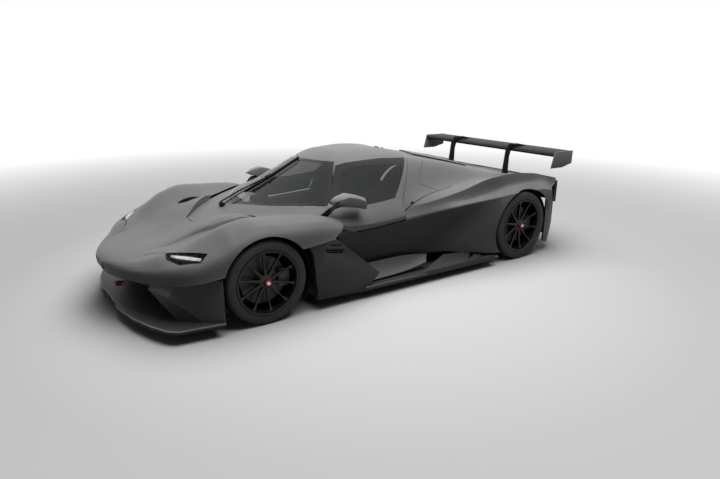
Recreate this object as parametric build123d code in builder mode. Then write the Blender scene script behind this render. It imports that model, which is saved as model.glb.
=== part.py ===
"""A mid-engined two-seat track supercar: hollow body panels, lifting canopy, steered front wheels.

Row frame: +X forward, +Y to the car's left, +Z up. The origin lies on the ground under the
middle of the car's length. All lengths are millimetres.
"""

import os
from math import hypot

from build123d import *

os.makedirs("parts", exist_ok=True)

# ---------------------------------------------------------------- driving dimensions
wheelbase = 2850
front_overhang = 975  # front axle to the nose
rear_overhang = 801  # rear axle to the tail
half_width = 1018  # widest point of the bodywork from the middle
ride_height = 72  # underside of the floor above the ground
floor_thickness = 24
panel_wall = 20  # bodywork skin, outer face to inner face
glass_wall = 6
canopy_gap = 14  # shut line round the moving canopy
panel_gap = 6  # shut line between fixed panels
seat_clearance = 0.3  # between faces that only rest beside each other

overall_length = front_overhang + wheelbase + rear_overhang
nose_x = overall_length / 2
tail_x = -overall_length / 2
front_axle_x = nose_x - front_overhang
rear_axle_x = front_axle_x - wheelbase
floor_top = ride_height + floor_thickness

# wheels: radius, width, middle plane from the car's middle, rim seat radius
front_tyre_radius = 330
front_tyre_width = 255
front_wheel_y = 857
front_seat_radius = 241
rear_tyre_radius = 348
rear_tyre_width = 315
rear_wheel_y = 838
rear_seat_radius = 254
tyre_shoulder_radius = 26
rim_flange_height = 14
rim_flange_width = 9
rim_wall = 8
spoke_count = 10
spoke_width = 20
spoke_depth = 26
hub_face_inset = 30  # hub face behind the outer rim flange
hub_radius = 62
hub_depth = 52
wheel_nut_radius = 34
wheel_nut_length = 34
spindle_radius = 25
spindle_clearance = 0.05
disc_radius = 188
disc_thickness = 30
disc_hub_gap = 22
kingpin_y = 800
front_arch_radius = 364
rear_arch_radius = 378
front_arch_inner_y = 690
rear_well_inner_y = 660

# wing
wing_half_span = 990
endplate_thickness = 8
strut_y = 425
strut_thickness = 14

# where the tables below were drawn, and where those stations fall now
DRAWN = [(-2313, tail_x), (-1512, rear_axle_x), (1338, front_axle_x), (2313, nose_x)]


def station(x):
    """A drawn station, moved with the axle or end of the car that it belongs to."""
    for (behind, behind_now), (ahead, ahead_now) in zip(DRAWN, DRAWN[1:]):
        if x <= ahead:
            break
    return behind_now + (x - behind) * (ahead_now - behind_now) / (ahead - behind)


def placed(points):
    """Drawn points, the first number of each a station, moved with the car's sizes."""
    return [(station(x), *rest) for x, *rest in points]


# ---------------------------------------------------------------- body lines, half sections
# Front clamshell: station x, height of the middle, then (y, z) of the bonnet ridge, the valley,
# the wing crest, its shoulder, the flank and the lower lip.
FRONT = [
    (2313, 452, (40, 452), (70, 449), (100, 445), (112, 440), (118, 430), (116, 378)),
    (2285, 474, (80, 471), (140, 466), (190, 457), (212, 448), (226, 432), (222, 366)),
    (2220, 494, (150, 491), (250, 483), (330, 472), (368, 460), (394, 442), (386, 364)),
    (2120, 513, (190, 511), (330, 505), (470, 500), (536, 482), (588, 452), (580, 370)),
    (2000, 531, (220, 535), (380, 534), (590, 557), (706, 534), (800, 492), (806, 396)),
    (1850, 556, (250, 566), (400, 560), (660, 606), (806, 584), (928, 532), (952, 424)),
    (1700, 600, (310, 616), (440, 602), (700, 690), (846, 652), (968, 590), (1000, 450)),
    (1564, 637, (380, 674), (480, 640), (735, 757), (862, 728), (978, 652), (1012, 470)),
    (1375, 700, (433, 722), (520, 676), (752, 808), (926, 770), (986, 704), (1018, 500)),
    (1175, 735, (488, 736), (550, 706), (764, 802), (936, 758), (986, 700), (1018, 545)),
    (900, 750, (560, 745), (640, 716), (784, 764), (932, 728), (972, 684), (1004, 566)),
    (628, 740, (620, 725), (730, 700), (820, 692), (896, 678), (932, 648), (962, 588)),
]
# Canopy: station x, height of the middle, then (y, z) of the roof edge, the waist, the foot and
# the edge under the foot.
CANOPY = [
    (1564, 637, (50, 637), (80, 636), (112, 634), (112, 624)),
    (1400, 690, (130, 688), (210, 682), (284, 670), (284, 652)),
    (1188, 764, (250, 742), (380, 712), (490, 690), (490, 672)),
    (1000, 838, (290, 800), (500, 745), (630, 700), (630, 676)),
    (850, 903, (330, 848), (570, 775), (710, 694), (710, 666)),
    (660, 992, (370, 920), (610, 802), (750, 676), (750, 648)),
    (600, 1022, (376, 942), (625, 814), (850, 640), (850, 612)),
    (450, 1096, (385, 1006), (655, 828), (850, 616), (850, 566)),
    (200, 1152, (425, 1074), (712, 802), (850, 606), (850, 574)),
    (-90, 1154, (465, 1086), (738, 780), (850, 622), (850, 592)),
    (-300, 1130, (474, 1082), (748, 774), (850, 640), (850, 600)),
    (-440, 1104, (466, 1068), (744, 778), (850, 640), (850, 600)),
]
# Rear bodywork: station x, height of the middle, then (y, z) of the valley, the deck shoulder,
# the foot of the glasshouse, the haunch crest, the scallop, the lower crease and the sill edge.
REAR = [
    (640, 1100, (250, 1090), (490, 1040), (752, 700), (800, 640), (830, 600), (856, 560), (836, 400)),
    (380, 1150, (250, 1146), (490, 1100), (752, 762), (806, 664), (830, 620), (846, 580), (800, 262)),
    (-60, 1158, (250, 1150), (490, 1102), (755, 762), (806, 680), (828, 638), (850, 598), (806, 226)),
    (-420, 1106, (260, 1078), (467, 1070), (744, 776), (834, 716), (846, 672), (872, 624), (812, 214)),
    (-800, 1036, (260, 984), (462, 1004), (704, 794), (834, 772), (848, 716), (922, 656), (866, 176)),
    (-1165, 958, (260, 896), (500, 916), (692, 812), (852, 856), (872, 758), (982, 688), (972, 118)),
    (-1450, 878, (260, 836), (520, 842), (672, 796), (862, 874), (898, 784), (1008, 706), (1016, 130)),
    (-1750, 800, (260, 780), (500, 794), (646, 772), (862, 850), (904, 778), (1008, 704), (1010, 300)),
    (-2000, 752, (260, 744), (482, 752), (622, 746), (860, 798), (912, 734), (988, 664), (982, 470)),
    (-2176, 736, (260, 730), (480, 736), (620, 730), (846, 758), (888, 704), (944, 654), (930, 560)),
]
# Tub: station x, half width at the foot, half width at the rim, height of the rim.
TUB = [
    (1440, 250, 250, 500),
    (1150, 410, 410, 560),
    (900, 500, 500, 590),
    (700, 720, 760, 560),
    (460, 760, 790, 548),
    (-90, 770, 790, 584),
    (-370, 760, 780, 600),
    (-440, 760, 780, 600),
]


def inset(half, wall, drop):
    """A half section moved inwards by wall; its last point runs on down by drop."""
    moved = []
    chain = [(-half[1][0], half[1][1]), *half]
    normals = []
    for (y0, z0), (y1, z1) in zip(chain, chain[1:]):
        length = hypot(y1 - y0, z1 - z0)
        normals.append(((z1 - z0) / length, (y0 - y1) / length))
    for i, (y, z) in enumerate(half):
        a = normals[i]
        b = normals[min(i + 1, len(normals) - 1)]
        reach = wall / (1 + a[0] * b[0] + a[1] * b[1])
        moved.append((y + (a[0] + b[0]) * reach, z + (a[1] + b[1]) * reach))
    moved[0] = (0, moved[0][1])
    moved[-1] = (moved[-1][0], moved[-1][1] - drop)
    return moved


def halves(table):
    """(station, half section) rows of a table, the middle's height made its first point."""
    return [(station(row[0]), [(0, row[1]), *row[2:]]) for row in table]


def ring_of(x, half):
    """The closed section at a station: the half section and its mirror image."""
    right = [(x, y, z) for y, z in half]
    left = [(x, -y, z) for y, z in reversed(half[1:])]
    return right + left


def lofted(rows):
    """One solid of flat triangles through half sections mirrored about the car's middle."""
    rings = [ring_of(x, half) for x, half in rows]
    count = len(rings[0])
    faces = [Face(Wire.make_polygon(rings[0])), Face(Wire.make_polygon(rings[-1]))]
    for ahead, behind in zip(rings, rings[1:]):
        for i in range(count):
            j = (i + 1) % count
            near, other = (i, j) if 2 * i < count else (j, i)
            faces.append(Face(Wire.make_polygon([ahead[near], ahead[other], behind[near]])))
            faces.append(Face(Wire.make_polygon([ahead[other], behind[other], behind[near]])))
    with BuildPart() as body:
        add(Solid(Shell(faces)))
    return body.part


def hollow_of(rows, wall, drop, skip_front, extend_rear, extend_front=0):
    """The space inside a skin: the same sections moved in by the wall."""
    inner = [(x, inset(half, wall, drop)) for x, half in rows[skip_front:]]
    inner[0] = (inner[0][0] + extend_front, inner[0][1])
    inner[-1] = (inner[-1][0] - extend_rear, inner[-1][1])
    return lofted(inner)


def side_prism(points, y_low, y_high):
    """A prism over a side-view outline of (x, z) points, from y_low to y_high."""
    with BuildPart() as body:
        with BuildSketch(Plane.XZ.offset(-y_low)):
            with BuildLine():
                Polyline(*points, close=True)
            make_face()
        extrude(amount=-(y_high - y_low))
    return body.part


def plan_prism(points, z_low, z_high):
    """A prism over a plan-view outline of (x, y) points, from z_low to z_high."""
    with BuildPart() as body:
        with BuildSketch(Plane.XY.offset(z_low)):
            with BuildLine():
                Polyline(*points, close=True)
            make_face()
        extrude(amount=z_high - z_low)
    return body.part


def symmetric(points):
    """A closed plan outline: the left side's points and their mirror image."""
    return points + [(x, -y) for x, y in reversed(points) if y > 0]


def plan_strip(points, thickness, z_low, z_high):
    """An upright wall along a plan-view line of (x, y) points, thickening towards the middle."""
    step = thickness if points[0][0] < 0 else -thickness
    inner = [(x + step, y - thickness / 2 if y > 0 else y) for x, y in reversed(points)]
    return plan_prism([*points, *inner], z_low, z_high)


def cross_rod(x, z, radius, y_low, y_high):
    """A round bar along Y."""
    with BuildPart() as body:
        with BuildSketch(Plane.XZ.offset(-y_low)):
            with Locations((x, z)):
                Circle(radius)
        extrude(amount=-(y_high - y_low))
    return body.part


def bar(start, finish, radius):
    """A round bar between two points."""
    span = Vector(*finish) - Vector(*start)
    with BuildPart() as body:
        with BuildSketch(Plane(origin=start, z_dir=span)):
            Circle(radius)
        extrude(amount=span.length)
    return body.part


def block(x_low, x_high, y_low, y_high, z_low, z_high):
    """A box between limits."""
    middle = ((x_low + x_high) / 2, (y_low + y_high) / 2, (z_low + z_high) / 2)
    with BuildPart() as body:
        with Locations(middle):
            Box(x_high - x_low, y_high - y_low, z_high - z_low)
    return body.part


def turned(profile, x, z):
    """A ring turned about a wheel axis at (x, z) from a (radius, y) outline."""
    with BuildPart() as body:
        with BuildSketch(Plane(origin=(x, 0, z), x_dir=(1, 0, 0), z_dir=(0, 0, 1))):
            with BuildLine():
                Polyline(*profile, close=True)
            make_face()
        revolve(axis=Axis((x, 0, z), (0, 1, 0)))
    return body.part


def both_sides(part):
    """The part and its mirror image."""
    with BuildPart() as pair:
        add(part)
        mirror(part, about=Plane.XZ)
    return pair.part


def mirrored(part):
    """The part's mirror image alone."""
    with BuildPart() as other:
        mirror(part, about=Plane.XZ)
    return other.part


def save(part, node):
    """Labels a finished piece and writes it."""
    part.label = node
    export_step(part, f"parts/{node}.step")


far = 1400  # past the car's side
low = 0
high = 1400
well = front_axle_x, front_tyre_radius
front_arch = both_sides(cross_rod(*well, front_arch_radius, front_arch_inner_y, far))
rear_arch_trail = 30  # the rear arch opens further behind the wheel
rear_arch_near = cross_rod(
    rear_axle_x, rear_tyre_radius, rear_arch_radius, rear_well_inner_y, far
)
rear_arch_behind = cross_rod(
    rear_axle_x - rear_arch_trail, rear_tyre_radius, rear_arch_radius, rear_well_inner_y, far
)
rear_arch = both_sides(rear_arch_near + rear_arch_behind)
tyre_clearance = 10
rear_tyre_room = cross_rod(
    rear_axle_x, rear_tyre_radius, rear_tyre_radius + tyre_clearance, rear_well_inner_y, far
)

# ---------------------------------------------------------------- shut lines
# plan view of the canopy's foot, left side, front to back
FOOT_LINE = [(1564, 104), (1190, 491), (1167, 560), (790, 755), (660, 775), (600, 862), (-500, 870)]
CANOPY_FOOT = placed(FOOT_LINE)
# side view of the canopy's rear edge, bottom to top
REAR_EDGE = placed([(-84, 500), (-84, 600), (-95, 730), (-362, 1056), (-430, 1300)])
# side view of the seam between upper bodywork and dark flank, front to back
seam_front = station(640)
seam_back = station(-1165)
FLANK_SEAM = [(seam_front, 540), (station(420), 540), (station(-84), 578), (seam_back, 680)]


def footprint(gap):
    """Plan outline of the canopy's foot, grown by gap."""
    side = [(x + gap, y + gap / 2) for x, y in CANOPY_FOOT]
    return symmetric(side)


def behind_canopy(gap):
    """Side outline of all that lies behind the canopy's rear edge."""
    top_z = REAR_EDGE[-1][1]
    edge = [(x - gap, z) for x, z in REAR_EDGE]
    return edge + [(tail_x - 600, top_z), (tail_x - 600, low), (edge[0][0], low)]


# ================================================================ front bodywork
front_rows = halves(FRONT)
front_outer = lofted(front_rows)
front_hollow = hollow_of(front_rows, panel_wall, 60, 2, 60)
front_room = hollow_of(front_rows, panel_wall, 400, 2, 60)
canopy_room = plan_prism(footprint(canopy_gap), low, high)
lamp_low = 430
LAMP = placed([(1985, 540), (1960, 560), (1752, 880), (1820, 914), (1937, 810), (1990, 660)])
lamp_prism = both_sides(plan_prism(LAMP, lamp_low, high))

# side view of all that lies behind the wing's rear tip
TIP_LINE = [(646, 800), (640, 690), (628, 668), (652, 634), (740, 586), (740, 500), (500, 500), (500, 800)]
behind_tip = side_prism(placed(TIP_LINE), -far, far)
with BuildPart() as front_clam:
    add(front_outer)
    add(front_hollow, mode=Mode.SUBTRACT)
    add(canopy_room, mode=Mode.SUBTRACT)
    add(front_arch, mode=Mode.SUBTRACT)
    add(lamp_prism, mode=Mode.SUBTRACT)
    add(behind_tip, mode=Mode.SUBTRACT)
save(front_clam.part, "front_clam")

lamp_depth = 60
lamp_core = hollow_of(front_rows, lamp_depth, 60, 2, 60)
with BuildPart() as headlamps:
    add(front_outer)
    add(lamp_core, mode=Mode.SUBTRACT)
    add(lamp_prism, mode=Mode.INTERSECT)
save(headlamps.part, "headlamps")

# ================================================================ floor, splitter, diffuser
FLOOR_LINE = [
    (1640, 520),
    (930, 520),
    (880, 930),
    (440, 990),
    (-1110, 1018),
    (-1110, 640),
    (-1700, 640),
]
FLOOR = placed(FLOOR_LINE)
skirt_height = 20
skirt_width = 12
SKIRT = FLOOR[2:5]
skirt_inner = [(x, y - skirt_width) for x, y in reversed(SKIRT)]
skirt = both_sides(plan_prism([*SKIRT, *skirt_inner], ride_height, floor_top + skirt_height))
with BuildPart() as floor:
    add(plan_prism(symmetric(FLOOR), ride_height, floor_top))
    add(skirt)
save(floor.part, "floor")

SPLITTER_LINE = [
    (2278, 230),
    (2239, 480),
    (2222, 580),
    (2113, 857),
    (2045, 936),
    (1916, 965),
    (1705, 1008),
    (1705, 560),
    (1640, 520),
]
SPLITTER = placed(SPLITTER_LINE)
splitter_low = 84
splitter_top = 106
with BuildPart() as splitter:
    add(plan_prism(symmetric(SPLITTER), splitter_low, splitter_top))
save(splitter.part, "splitter")

diffuser_kick = FLOOR[-1][0]
diffuser_exit_top = 330
diffuser_wall = 16
diffuser_half = 640
diffuser_fin = 12
RAMP = [
    (diffuser_kick, ride_height),
    (tail_x, diffuser_exit_top - diffuser_wall),
    (tail_x, diffuser_exit_top),
    (diffuser_kick, floor_top),
]
FIN = [
    (diffuser_kick - 120, ride_height + 40),
    (tail_x + 20, diffuser_exit_top - 12),
    (tail_x + 60, 130),
    (diffuser_kick - 200, ride_height + 6),
]
FIN_ROWS = [0, 215, 430, diffuser_half - diffuser_fin]
with BuildPart() as diffuser:
    add(side_prism(RAMP, -diffuser_half, diffuser_half))
    for fin_y in FIN_ROWS:
        fin = side_prism(FIN, fin_y, fin_y + diffuser_fin)
        add(fin)
        add(mirrored(fin))
save(diffuser.part, "diffuser")

# ================================================================ nose below the beak
CORNER = placed([(2112, 540), (1985, 790), (1925, 858), (1700, 985)])
corner_thickness = 18
corner_walls = both_sides(plan_strip(CORNER, corner_thickness, splitter_top, high))
corner_top = 470
# side view of the room in front of the corners' leaning front edge
CORNER_LEAN = placed([(2300, 420), (2150, 372), (2060, 250), (1972, 100), (2300, 100)])
corner_lean = side_prism(CORNER_LEAN, -far, far)
with BuildPart() as front_corners:
    add(corner_walls)
    add(front_room, mode=Mode.INTERSECT)
    add(block(station(1600), nose_x, -far, far, low, corner_top), mode=Mode.INTERSECT)
    add(corner_lean, mode=Mode.SUBTRACT)
    add(front_arch, mode=Mode.SUBTRACT)
    add(headlamps.part, mode=Mode.SUBTRACT)
save(front_corners.part, "front_corners")

GRILLE = placed([(2200, 0), (2186, 300), (2130, 500)])
grille_thickness = 12
grille_bar = 14
grille_pitch_y = 94
grille_pitch_z = 70
grille_sheet = both_sides(plan_strip(GRILLE, grille_thickness, splitter_top, high))
with BuildPart() as front_grille:
    add(grille_sheet)
    add(front_room, mode=Mode.INTERSECT)
    with Locations((station(2150), 0, splitter_top + 100)):
        with GridLocations(0, grille_pitch_y, 1, 10):
            Box(300, grille_pitch_y - grille_bar, grille_pitch_z * 2, mode=Mode.SUBTRACT)
save(front_grille.part, "front_grille")

grille_face = GRILLE[0][0]
tow_strap_reach = 32
with BuildPart() as tow_strap:
    add(block(grille_face - 10, grille_face + tow_strap_reach, 92, 122, 200, 268))
    add(front_grille.part, mode=Mode.SUBTRACT)
save(tow_strap.part, "tow_strap")

# ================================================================ side blades behind the front wheels
blade_wall = 20
BLADE_LINE = [
    (988, 562),
    (799, 578),
    (736, 577),
    (302, 213),
    (441, 97),
    (914, 97),
    (933, 316),
    (953, 485),
]
BLADE = placed(BLADE_LINE)
blade_low_y = 940
blade_high_y = 990
blade_arch_radius = 372
with BuildPart() as blade_left:
    add(side_prism(BLADE, blade_low_y, blade_high_y))
    add(front_outer, mode=Mode.SUBTRACT)
    add(cross_rod(*well, blade_arch_radius, 0, far), mode=Mode.SUBTRACT)
    add(floor.part, mode=Mode.SUBTRACT)
with BuildPart() as side_blades:
    add(both_sides(blade_left.part))
save(side_blades.part, "side_blades")

# ================================================================ rear bodywork
rear_rows = halves(REAR)
rear_outer = lofted(rear_rows)
rear_hollow = hollow_of(rear_rows, panel_wall, 60, 0, 60, 60)
below_seam = side_prism([*FLANK_SEAM, (seam_back, low), (seam_front, low)], -far, far)
seam_shut = [(x, z + panel_gap) for x, z in FLANK_SEAM]
below_shut = side_prism([*seam_shut, (seam_back, low), (seam_front, low)], -far, far)
behind_room = side_prism(behind_canopy(canopy_gap), -far, far)
# side view of all that lies behind the haunch's raked rear edge
RAKE_LINE = [
    (-2182, 770),
    (-2170, 690),
    (-2075, 620),
    (-1955, 535),
    (-1955, 300),
    (-2400, 300),
    (-2400, 770),
]
rake_inner_y = 760
rear_rake = both_sides(side_prism(placed(RAKE_LINE), rake_inner_y, far))
# plan of the room outside each tail corner, which is drawn in towards the wing
TAIL_CORNER = [
    (-2300, 850),
    (-2185, 850),
    (-2109, 900),
    (-2002, 950),
    (-1940, 985),
    (-1940, 1100),
    (-2300, 1100),
]
tail_corners = both_sides(plan_prism(placed(TAIL_CORNER), low, high))
with BuildPart() as rear_skin:
    add(rear_outer)
    add(rear_hollow, mode=Mode.SUBTRACT)
    add(rear_arch, mode=Mode.SUBTRACT)
    add(rear_rake, mode=Mode.SUBTRACT)
    add(tail_corners, mode=Mode.SUBTRACT)

with BuildPart() as flanks:
    add(rear_skin.part)
    add(below_seam, mode=Mode.INTERSECT)
save(flanks.part, "flanks")

COVER_LINE = [(0, 830), (-120, 812), (-752, 704), (-812, 655), (-1700, 605), (-1715, 560)]
COVER = placed(COVER_LINE)
cover_tail = COVER[-2][0]


def cover_plan(gap):
    """Plan outline of the engine cover, grown by gap."""
    side = [(x - gap if x <= cover_tail else x, y + gap) for x, y in COVER]
    return symmetric(side)


cover_low = 560
with BuildPart() as engine_cover:
    add(rear_skin.part)
    add(behind_room, mode=Mode.INTERSECT)
    add(plan_prism(cover_plan(0), cover_low, high), mode=Mode.INTERSECT)
    add(below_shut, mode=Mode.SUBTRACT)
save(engine_cover.part, "engine_cover")

with BuildPart() as rear_clam:
    add(rear_skin.part)
    add(behind_room, mode=Mode.INTERSECT)
    add(plan_prism(cover_plan(panel_gap), cover_low, high), mode=Mode.SUBTRACT)
    add(below_shut, mode=Mode.SUBTRACT)
save(rear_clam.part, "rear_clam")

clam_end = station(-2176)
bumper_wall = 20
BUMPER = placed([(-2176, 880), (-2240, 780), (-2256, 0)])
bumper_face = BUMPER[-1][0]
SIDE_LINE = [
    (-1932, 130),
    (-1932, 470),
    (-2000, 469.8),
    (-2176, 559.8),
    (-2236, 525),
    (-2160, 305),
    (-2060, 160),
]
BUMPER_SIDE = placed(SIDE_LINE)
# plan line of the wing's rear edge behind the wheel
CHEEK = placed([(-1926, 962), (-2000, 940), (-2120, 890), (-2240, 800)])
cheek_wall = 24
bumper_low = 500
bumper_top = 728
mesh_half = 560
mesh_low = 520
mesh_top = 700
lamp_bar_low = 705
lamp_bar_high = 721
with BuildPart() as bumper_side:
    add(side_prism(BUMPER_SIDE, 700, 1000))
    add(plan_strip(CHEEK, cheek_wall, low, high), mode=Mode.INTERSECT)
    add(rear_tyre_room, mode=Mode.SUBTRACT)
with BuildPart() as tail_lamps:
    add(both_sides(block(bumper_face, bumper_face + 18, 300, 545, lamp_bar_low, lamp_bar_high)))
save(tail_lamps.part, "tail_lamps")

with BuildPart() as rear_bumper:
    add(both_sides(plan_strip(BUMPER, bumper_wall, bumper_low, bumper_top)))
    add(both_sides(bumper_side.part))
    add(rear_clam.part, mode=Mode.SUBTRACT)
    add(block(tail_x, bumper_face + 56, -mesh_half, mesh_half, mesh_low, mesh_top), mode=Mode.SUBTRACT)
    add(tail_lamps.part, mode=Mode.SUBTRACT)
save(rear_bumper.part, "rear_bumper")

mesh_x = bumper_face + 26
exhaust_y = 78
exhaust_z = 610
exhaust_radius = 46
exhaust_wall = 4
exhaust_start = bumper_face + 196
exhaust_end = bumper_face - 6
with BuildPart() as tail_mesh:
    add(block(mesh_x - 12, mesh_x, -mesh_half, mesh_half, mesh_low, mesh_top))
    with Locations((mesh_x, exhaust_y, exhaust_z), (mesh_x, -exhaust_y, exhaust_z)):
        Cylinder(exhaust_radius, 60, rotation=(0, 90, 0), mode=Mode.SUBTRACT)
save(tail_mesh.part, "tail_mesh")

with BuildPart() as exhausts:
    with BuildSketch(Plane.YZ.offset(exhaust_end)):
        with Locations((exhaust_y, exhaust_z), (-exhaust_y, exhaust_z)):
            Circle(exhaust_radius)
            Circle(exhaust_radius - exhaust_wall, mode=Mode.SUBTRACT)
    extrude(amount=exhaust_start - exhaust_end)
save(exhausts.part, "exhausts")

# ================================================================ air scoop, sill struts
SCOOP_LINE = [
    (-724, 1046),
    (-880, 1038),
    (-1100, 998),
    (-1380, 928),
    (-1572, 844),
    (-1572, 760),
    (-724, 900),
]
scoop_half = 116
with BuildPart() as air_scoop:
    add(side_prism(placed(SCOOP_LINE), -scoop_half, scoop_half))
    add(rear_outer, mode=Mode.SUBTRACT)
save(air_scoop.part, "air_scoop")


def slab(corners, shift):
    """A flat slab: the corners of one face, and the same corners moved by shift."""
    count = len(corners)
    moved = [tuple(a + b for a, b in zip(corner, shift)) for corner in corners]
    faces = [Face(Wire.make_polygon(corners)), Face(Wire.make_polygon(moved))]
    for i in range(count):
        j = (i + 1) % count
        faces.append(Face(Wire.make_polygon([corners[i], corners[j], moved[j], moved[i]])))
    with BuildPart() as body:
        add(Solid(Shell(faces)))
    return body.part


strut_foot_y = 990
strut_foot_z = floor_top + skirt_height + seat_clearance / 2
strut_wall = (0, 6, 4)
# each sill strut: stations of foot front, foot rear, head rear and head front, then the head's y and z
SILL_STRUTS = [
    (-197, -750, -945, -651, 836, 206),
    (-760, -891, -1063, -937, 890, 154),
]
with BuildPart() as struts_left:
    for *stations, head_y, head_z in SILL_STRUTS:
        foot_front, foot_rear, head_rear, head_front = [station(x) for x in stations]
        corners = [
            (foot_front, strut_foot_y, strut_foot_z),
            (foot_rear, strut_foot_y, strut_foot_z),
            (head_rear, head_y, head_z),
            (head_front, head_y, head_z),
        ]
        add(slab(corners, strut_wall))
with BuildPart() as sill_struts:
    add(both_sides(struts_left.part))
    add(rear_outer, mode=Mode.SUBTRACT)
save(sill_struts.part, "sill_struts")

# ================================================================ canopy
canopy_rows = halves(CANOPY)
canopy_outer = lofted(canopy_rows)
canopy_hollow = hollow_of(canopy_rows, panel_wall, 80, 1, 80)
glass_hollow = hollow_of(canopy_rows, glass_wall, 80, 1, 80)
SCREEN_LINE = [
    (1228, 0),
    (1212, 76),
    (1143, 208),
    (1071, 316),
    (1015, 390),
    (915, 499),
    (831, 573),
    (720, 622),
    (625, 670),
    (568, 623),
    (515, 565),
    (471, 503),
    (426, 450),
    (385, 389),
    (340, 331),
    (417, 220),
    (467, 126),
    (484, 66),
    (496, 0),
]
SCREEN = placed(SCREEN_LINE)
GLASS_LINE = [
    (340, 1048),
    (266, 1070),
    (94, 1083),
    (-83, 1090),
    (-351, 1075),
    (-290, 1020),
    (-240, 966),
    (-181, 905),
    (-107, 830),
    (-40, 772),
    (41, 764),
    (132, 758),
    (282, 751),
    (436, 759),
    (525, 766),
    (562, 771),
    (582, 791),
    (550, 824),
    (508, 863),
    (463, 911),
    (420, 960),
    (383, 1002),
]
SIDE_GLASS = placed(GLASS_LINE)
screen_prism = plan_prism(symmetric(SCREEN), 700, high)
side_glass_inner = 340
side_glass_prism = both_sides(side_prism(SIDE_GLASS, side_glass_inner, far))
with BuildPart() as canopy_skin:
    add(canopy_outer)
    add(canopy_hollow, mode=Mode.SUBTRACT)
    add(side_prism(behind_canopy(0), -far, far), mode=Mode.SUBTRACT)
    add(plan_prism(footprint(0), low, high), mode=Mode.INTERSECT)
with BuildPart() as canopy_shell:
    add(canopy_skin.part)
    add(screen_prism, mode=Mode.SUBTRACT)
    add(side_glass_prism, mode=Mode.SUBTRACT)
save(canopy_shell.part, "canopy_shell")

with BuildPart() as windscreen:
    add(canopy_outer)
    add(glass_hollow, mode=Mode.SUBTRACT)
    add(screen_prism, mode=Mode.INTERSECT)
save(windscreen.part, "windscreen")

with BuildPart() as side_windows:
    add(canopy_outer)
    add(glass_hollow, mode=Mode.SUBTRACT)
    add(side_glass_prism, mode=Mode.INTERSECT)
save(side_windows.part, "side_windows")

MIRROR_HEAD = placed([(675, 843), (620, 878), (533, 893), (379, 840), (368, 748), (520, 782), (620, 806)])
mirror_inner = 775
mirror_outer = 888
arm_radius = 9
with BuildPart() as mirror_heads:
    add(both_sides(side_prism(MIRROR_HEAD, mirror_inner, mirror_outer)))
save(mirror_heads.part, "mirror_heads")

arm_foot = (station(790), 716, 690)
arm_elbow = (station(700), 790, 790)
arm_end = (station(600), 800, 830)
with BuildPart() as arm_left:
    add(bar(arm_foot, arm_elbow, arm_radius))
    with Locations(arm_elbow):
        Sphere(arm_radius)
    add(bar(arm_elbow, arm_end, arm_radius))
with BuildPart() as mirror_arms:
    add(both_sides(arm_left.part))
    add(canopy_outer, mode=Mode.SUBTRACT)
    add(mirror_heads.part, mode=Mode.SUBTRACT)
save(mirror_arms.part, "mirror_arms")

wiper_foot = (station(1292), 0, 700)
wiper_elbow = (station(1292), 0, 764)
wiper_head = (station(822), 0, 938)
wiper_radius = 8
WIPER_RUBBER = placed([(1060, 815), (800, 924), (515, 1064), (515, 1092), (800, 954), (1060, 838)])
with BuildPart() as wiper:
    add(bar(wiper_foot, wiper_elbow, wiper_radius))
    with Locations(wiper_elbow):
        Sphere(wiper_radius)
    add(bar(wiper_elbow, wiper_head, wiper_radius))
    add(side_prism(WIPER_RUBBER, -6, 6))
    add(canopy_outer, mode=Mode.SUBTRACT)
save(wiper.part, "wiper")

# ================================================================ canopy hinge
hinge_x = station(1714)
hinge_z = 552
hinge_y = 60
hinge_pin = 7
hinge_barrel = 13
hinge_fit = 0.05
arm_half_width = 7
ear_gap = 6
ear_width = 12
# gooseneck outline: distance behind the hinge, height
NECK_LINE = [
    (0, hinge_z - 13),
    (74, 488),
    (174, 468),
    (206, 488),
    (210, 640),
    (180, 640),
    (180, 496),
    (82, 512),
    (0, hinge_z + 9),
]
NECK = [(hinge_x - behind, z) for behind, z in NECK_LINE]
ear_near = hinge_y + arm_half_width + ear_gap
EAR = [(hinge_x - 16, 536), (hinge_x + 16, 536), (hinge_x + 22, high), (hinge_x - 22, high)]
hinge_line = hinge_x, hinge_z
with BuildPart() as neck_left:
    add(side_prism(NECK, hinge_y - arm_half_width, hinge_y + arm_half_width))
    add(cross_rod(*hinge_line, hinge_barrel, hinge_y - arm_half_width, hinge_y + arm_half_width))
    add(cross_rod(*hinge_line, hinge_pin + hinge_fit, 0, far), mode=Mode.SUBTRACT)
with BuildPart() as canopy_arms:
    add(both_sides(neck_left.part))
    add(canopy_outer, mode=Mode.SUBTRACT)
save(canopy_arms.part, "canopy_arms")

with BuildPart() as ears_left:
    add(side_prism(EAR, ear_near, ear_near + ear_width))
    add(side_prism(EAR, 2 * hinge_y - ear_near - ear_width, 2 * hinge_y - ear_near))
    add(front_room, mode=Mode.INTERSECT)
    add(cross_rod(*hinge_line, hinge_pin, 2 * hinge_y - ear_near - ear_width, ear_near + ear_width))
with BuildPart() as hinge_ears:
    add(both_sides(ears_left.part))
save(hinge_ears.part, "hinge_ears")

# ================================================================ tub and cabin
tub_floor = 40
tub_wall = 56
tub_seat = floor_top + seat_clearance / 2


def tub_rows(shrink, bottom, top):
    """The tub's sections, moved in by shrink, between two heights; top None keeps the rim's."""
    rows = []
    for x, foot, rim_half, rim_z in TUB:
        crown = rim_z if top is None else top
        rows.append((station(x), [(0, crown), (rim_half - shrink, crown), (foot - shrink, bottom)]))
    return rows


cavity_rows = tub_rows(tub_wall, tub_seat + tub_floor, high)
cavity_rows[0] = (cavity_rows[0][0] - tub_wall, cavity_rows[0][1])
cavity = lofted(cavity_rows[:-1])
with BuildPart() as tub:
    add(lofted(tub_rows(0, tub_seat, None)))
    add(cavity, mode=Mode.SUBTRACT)
save(tub.part, "tub")

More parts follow.
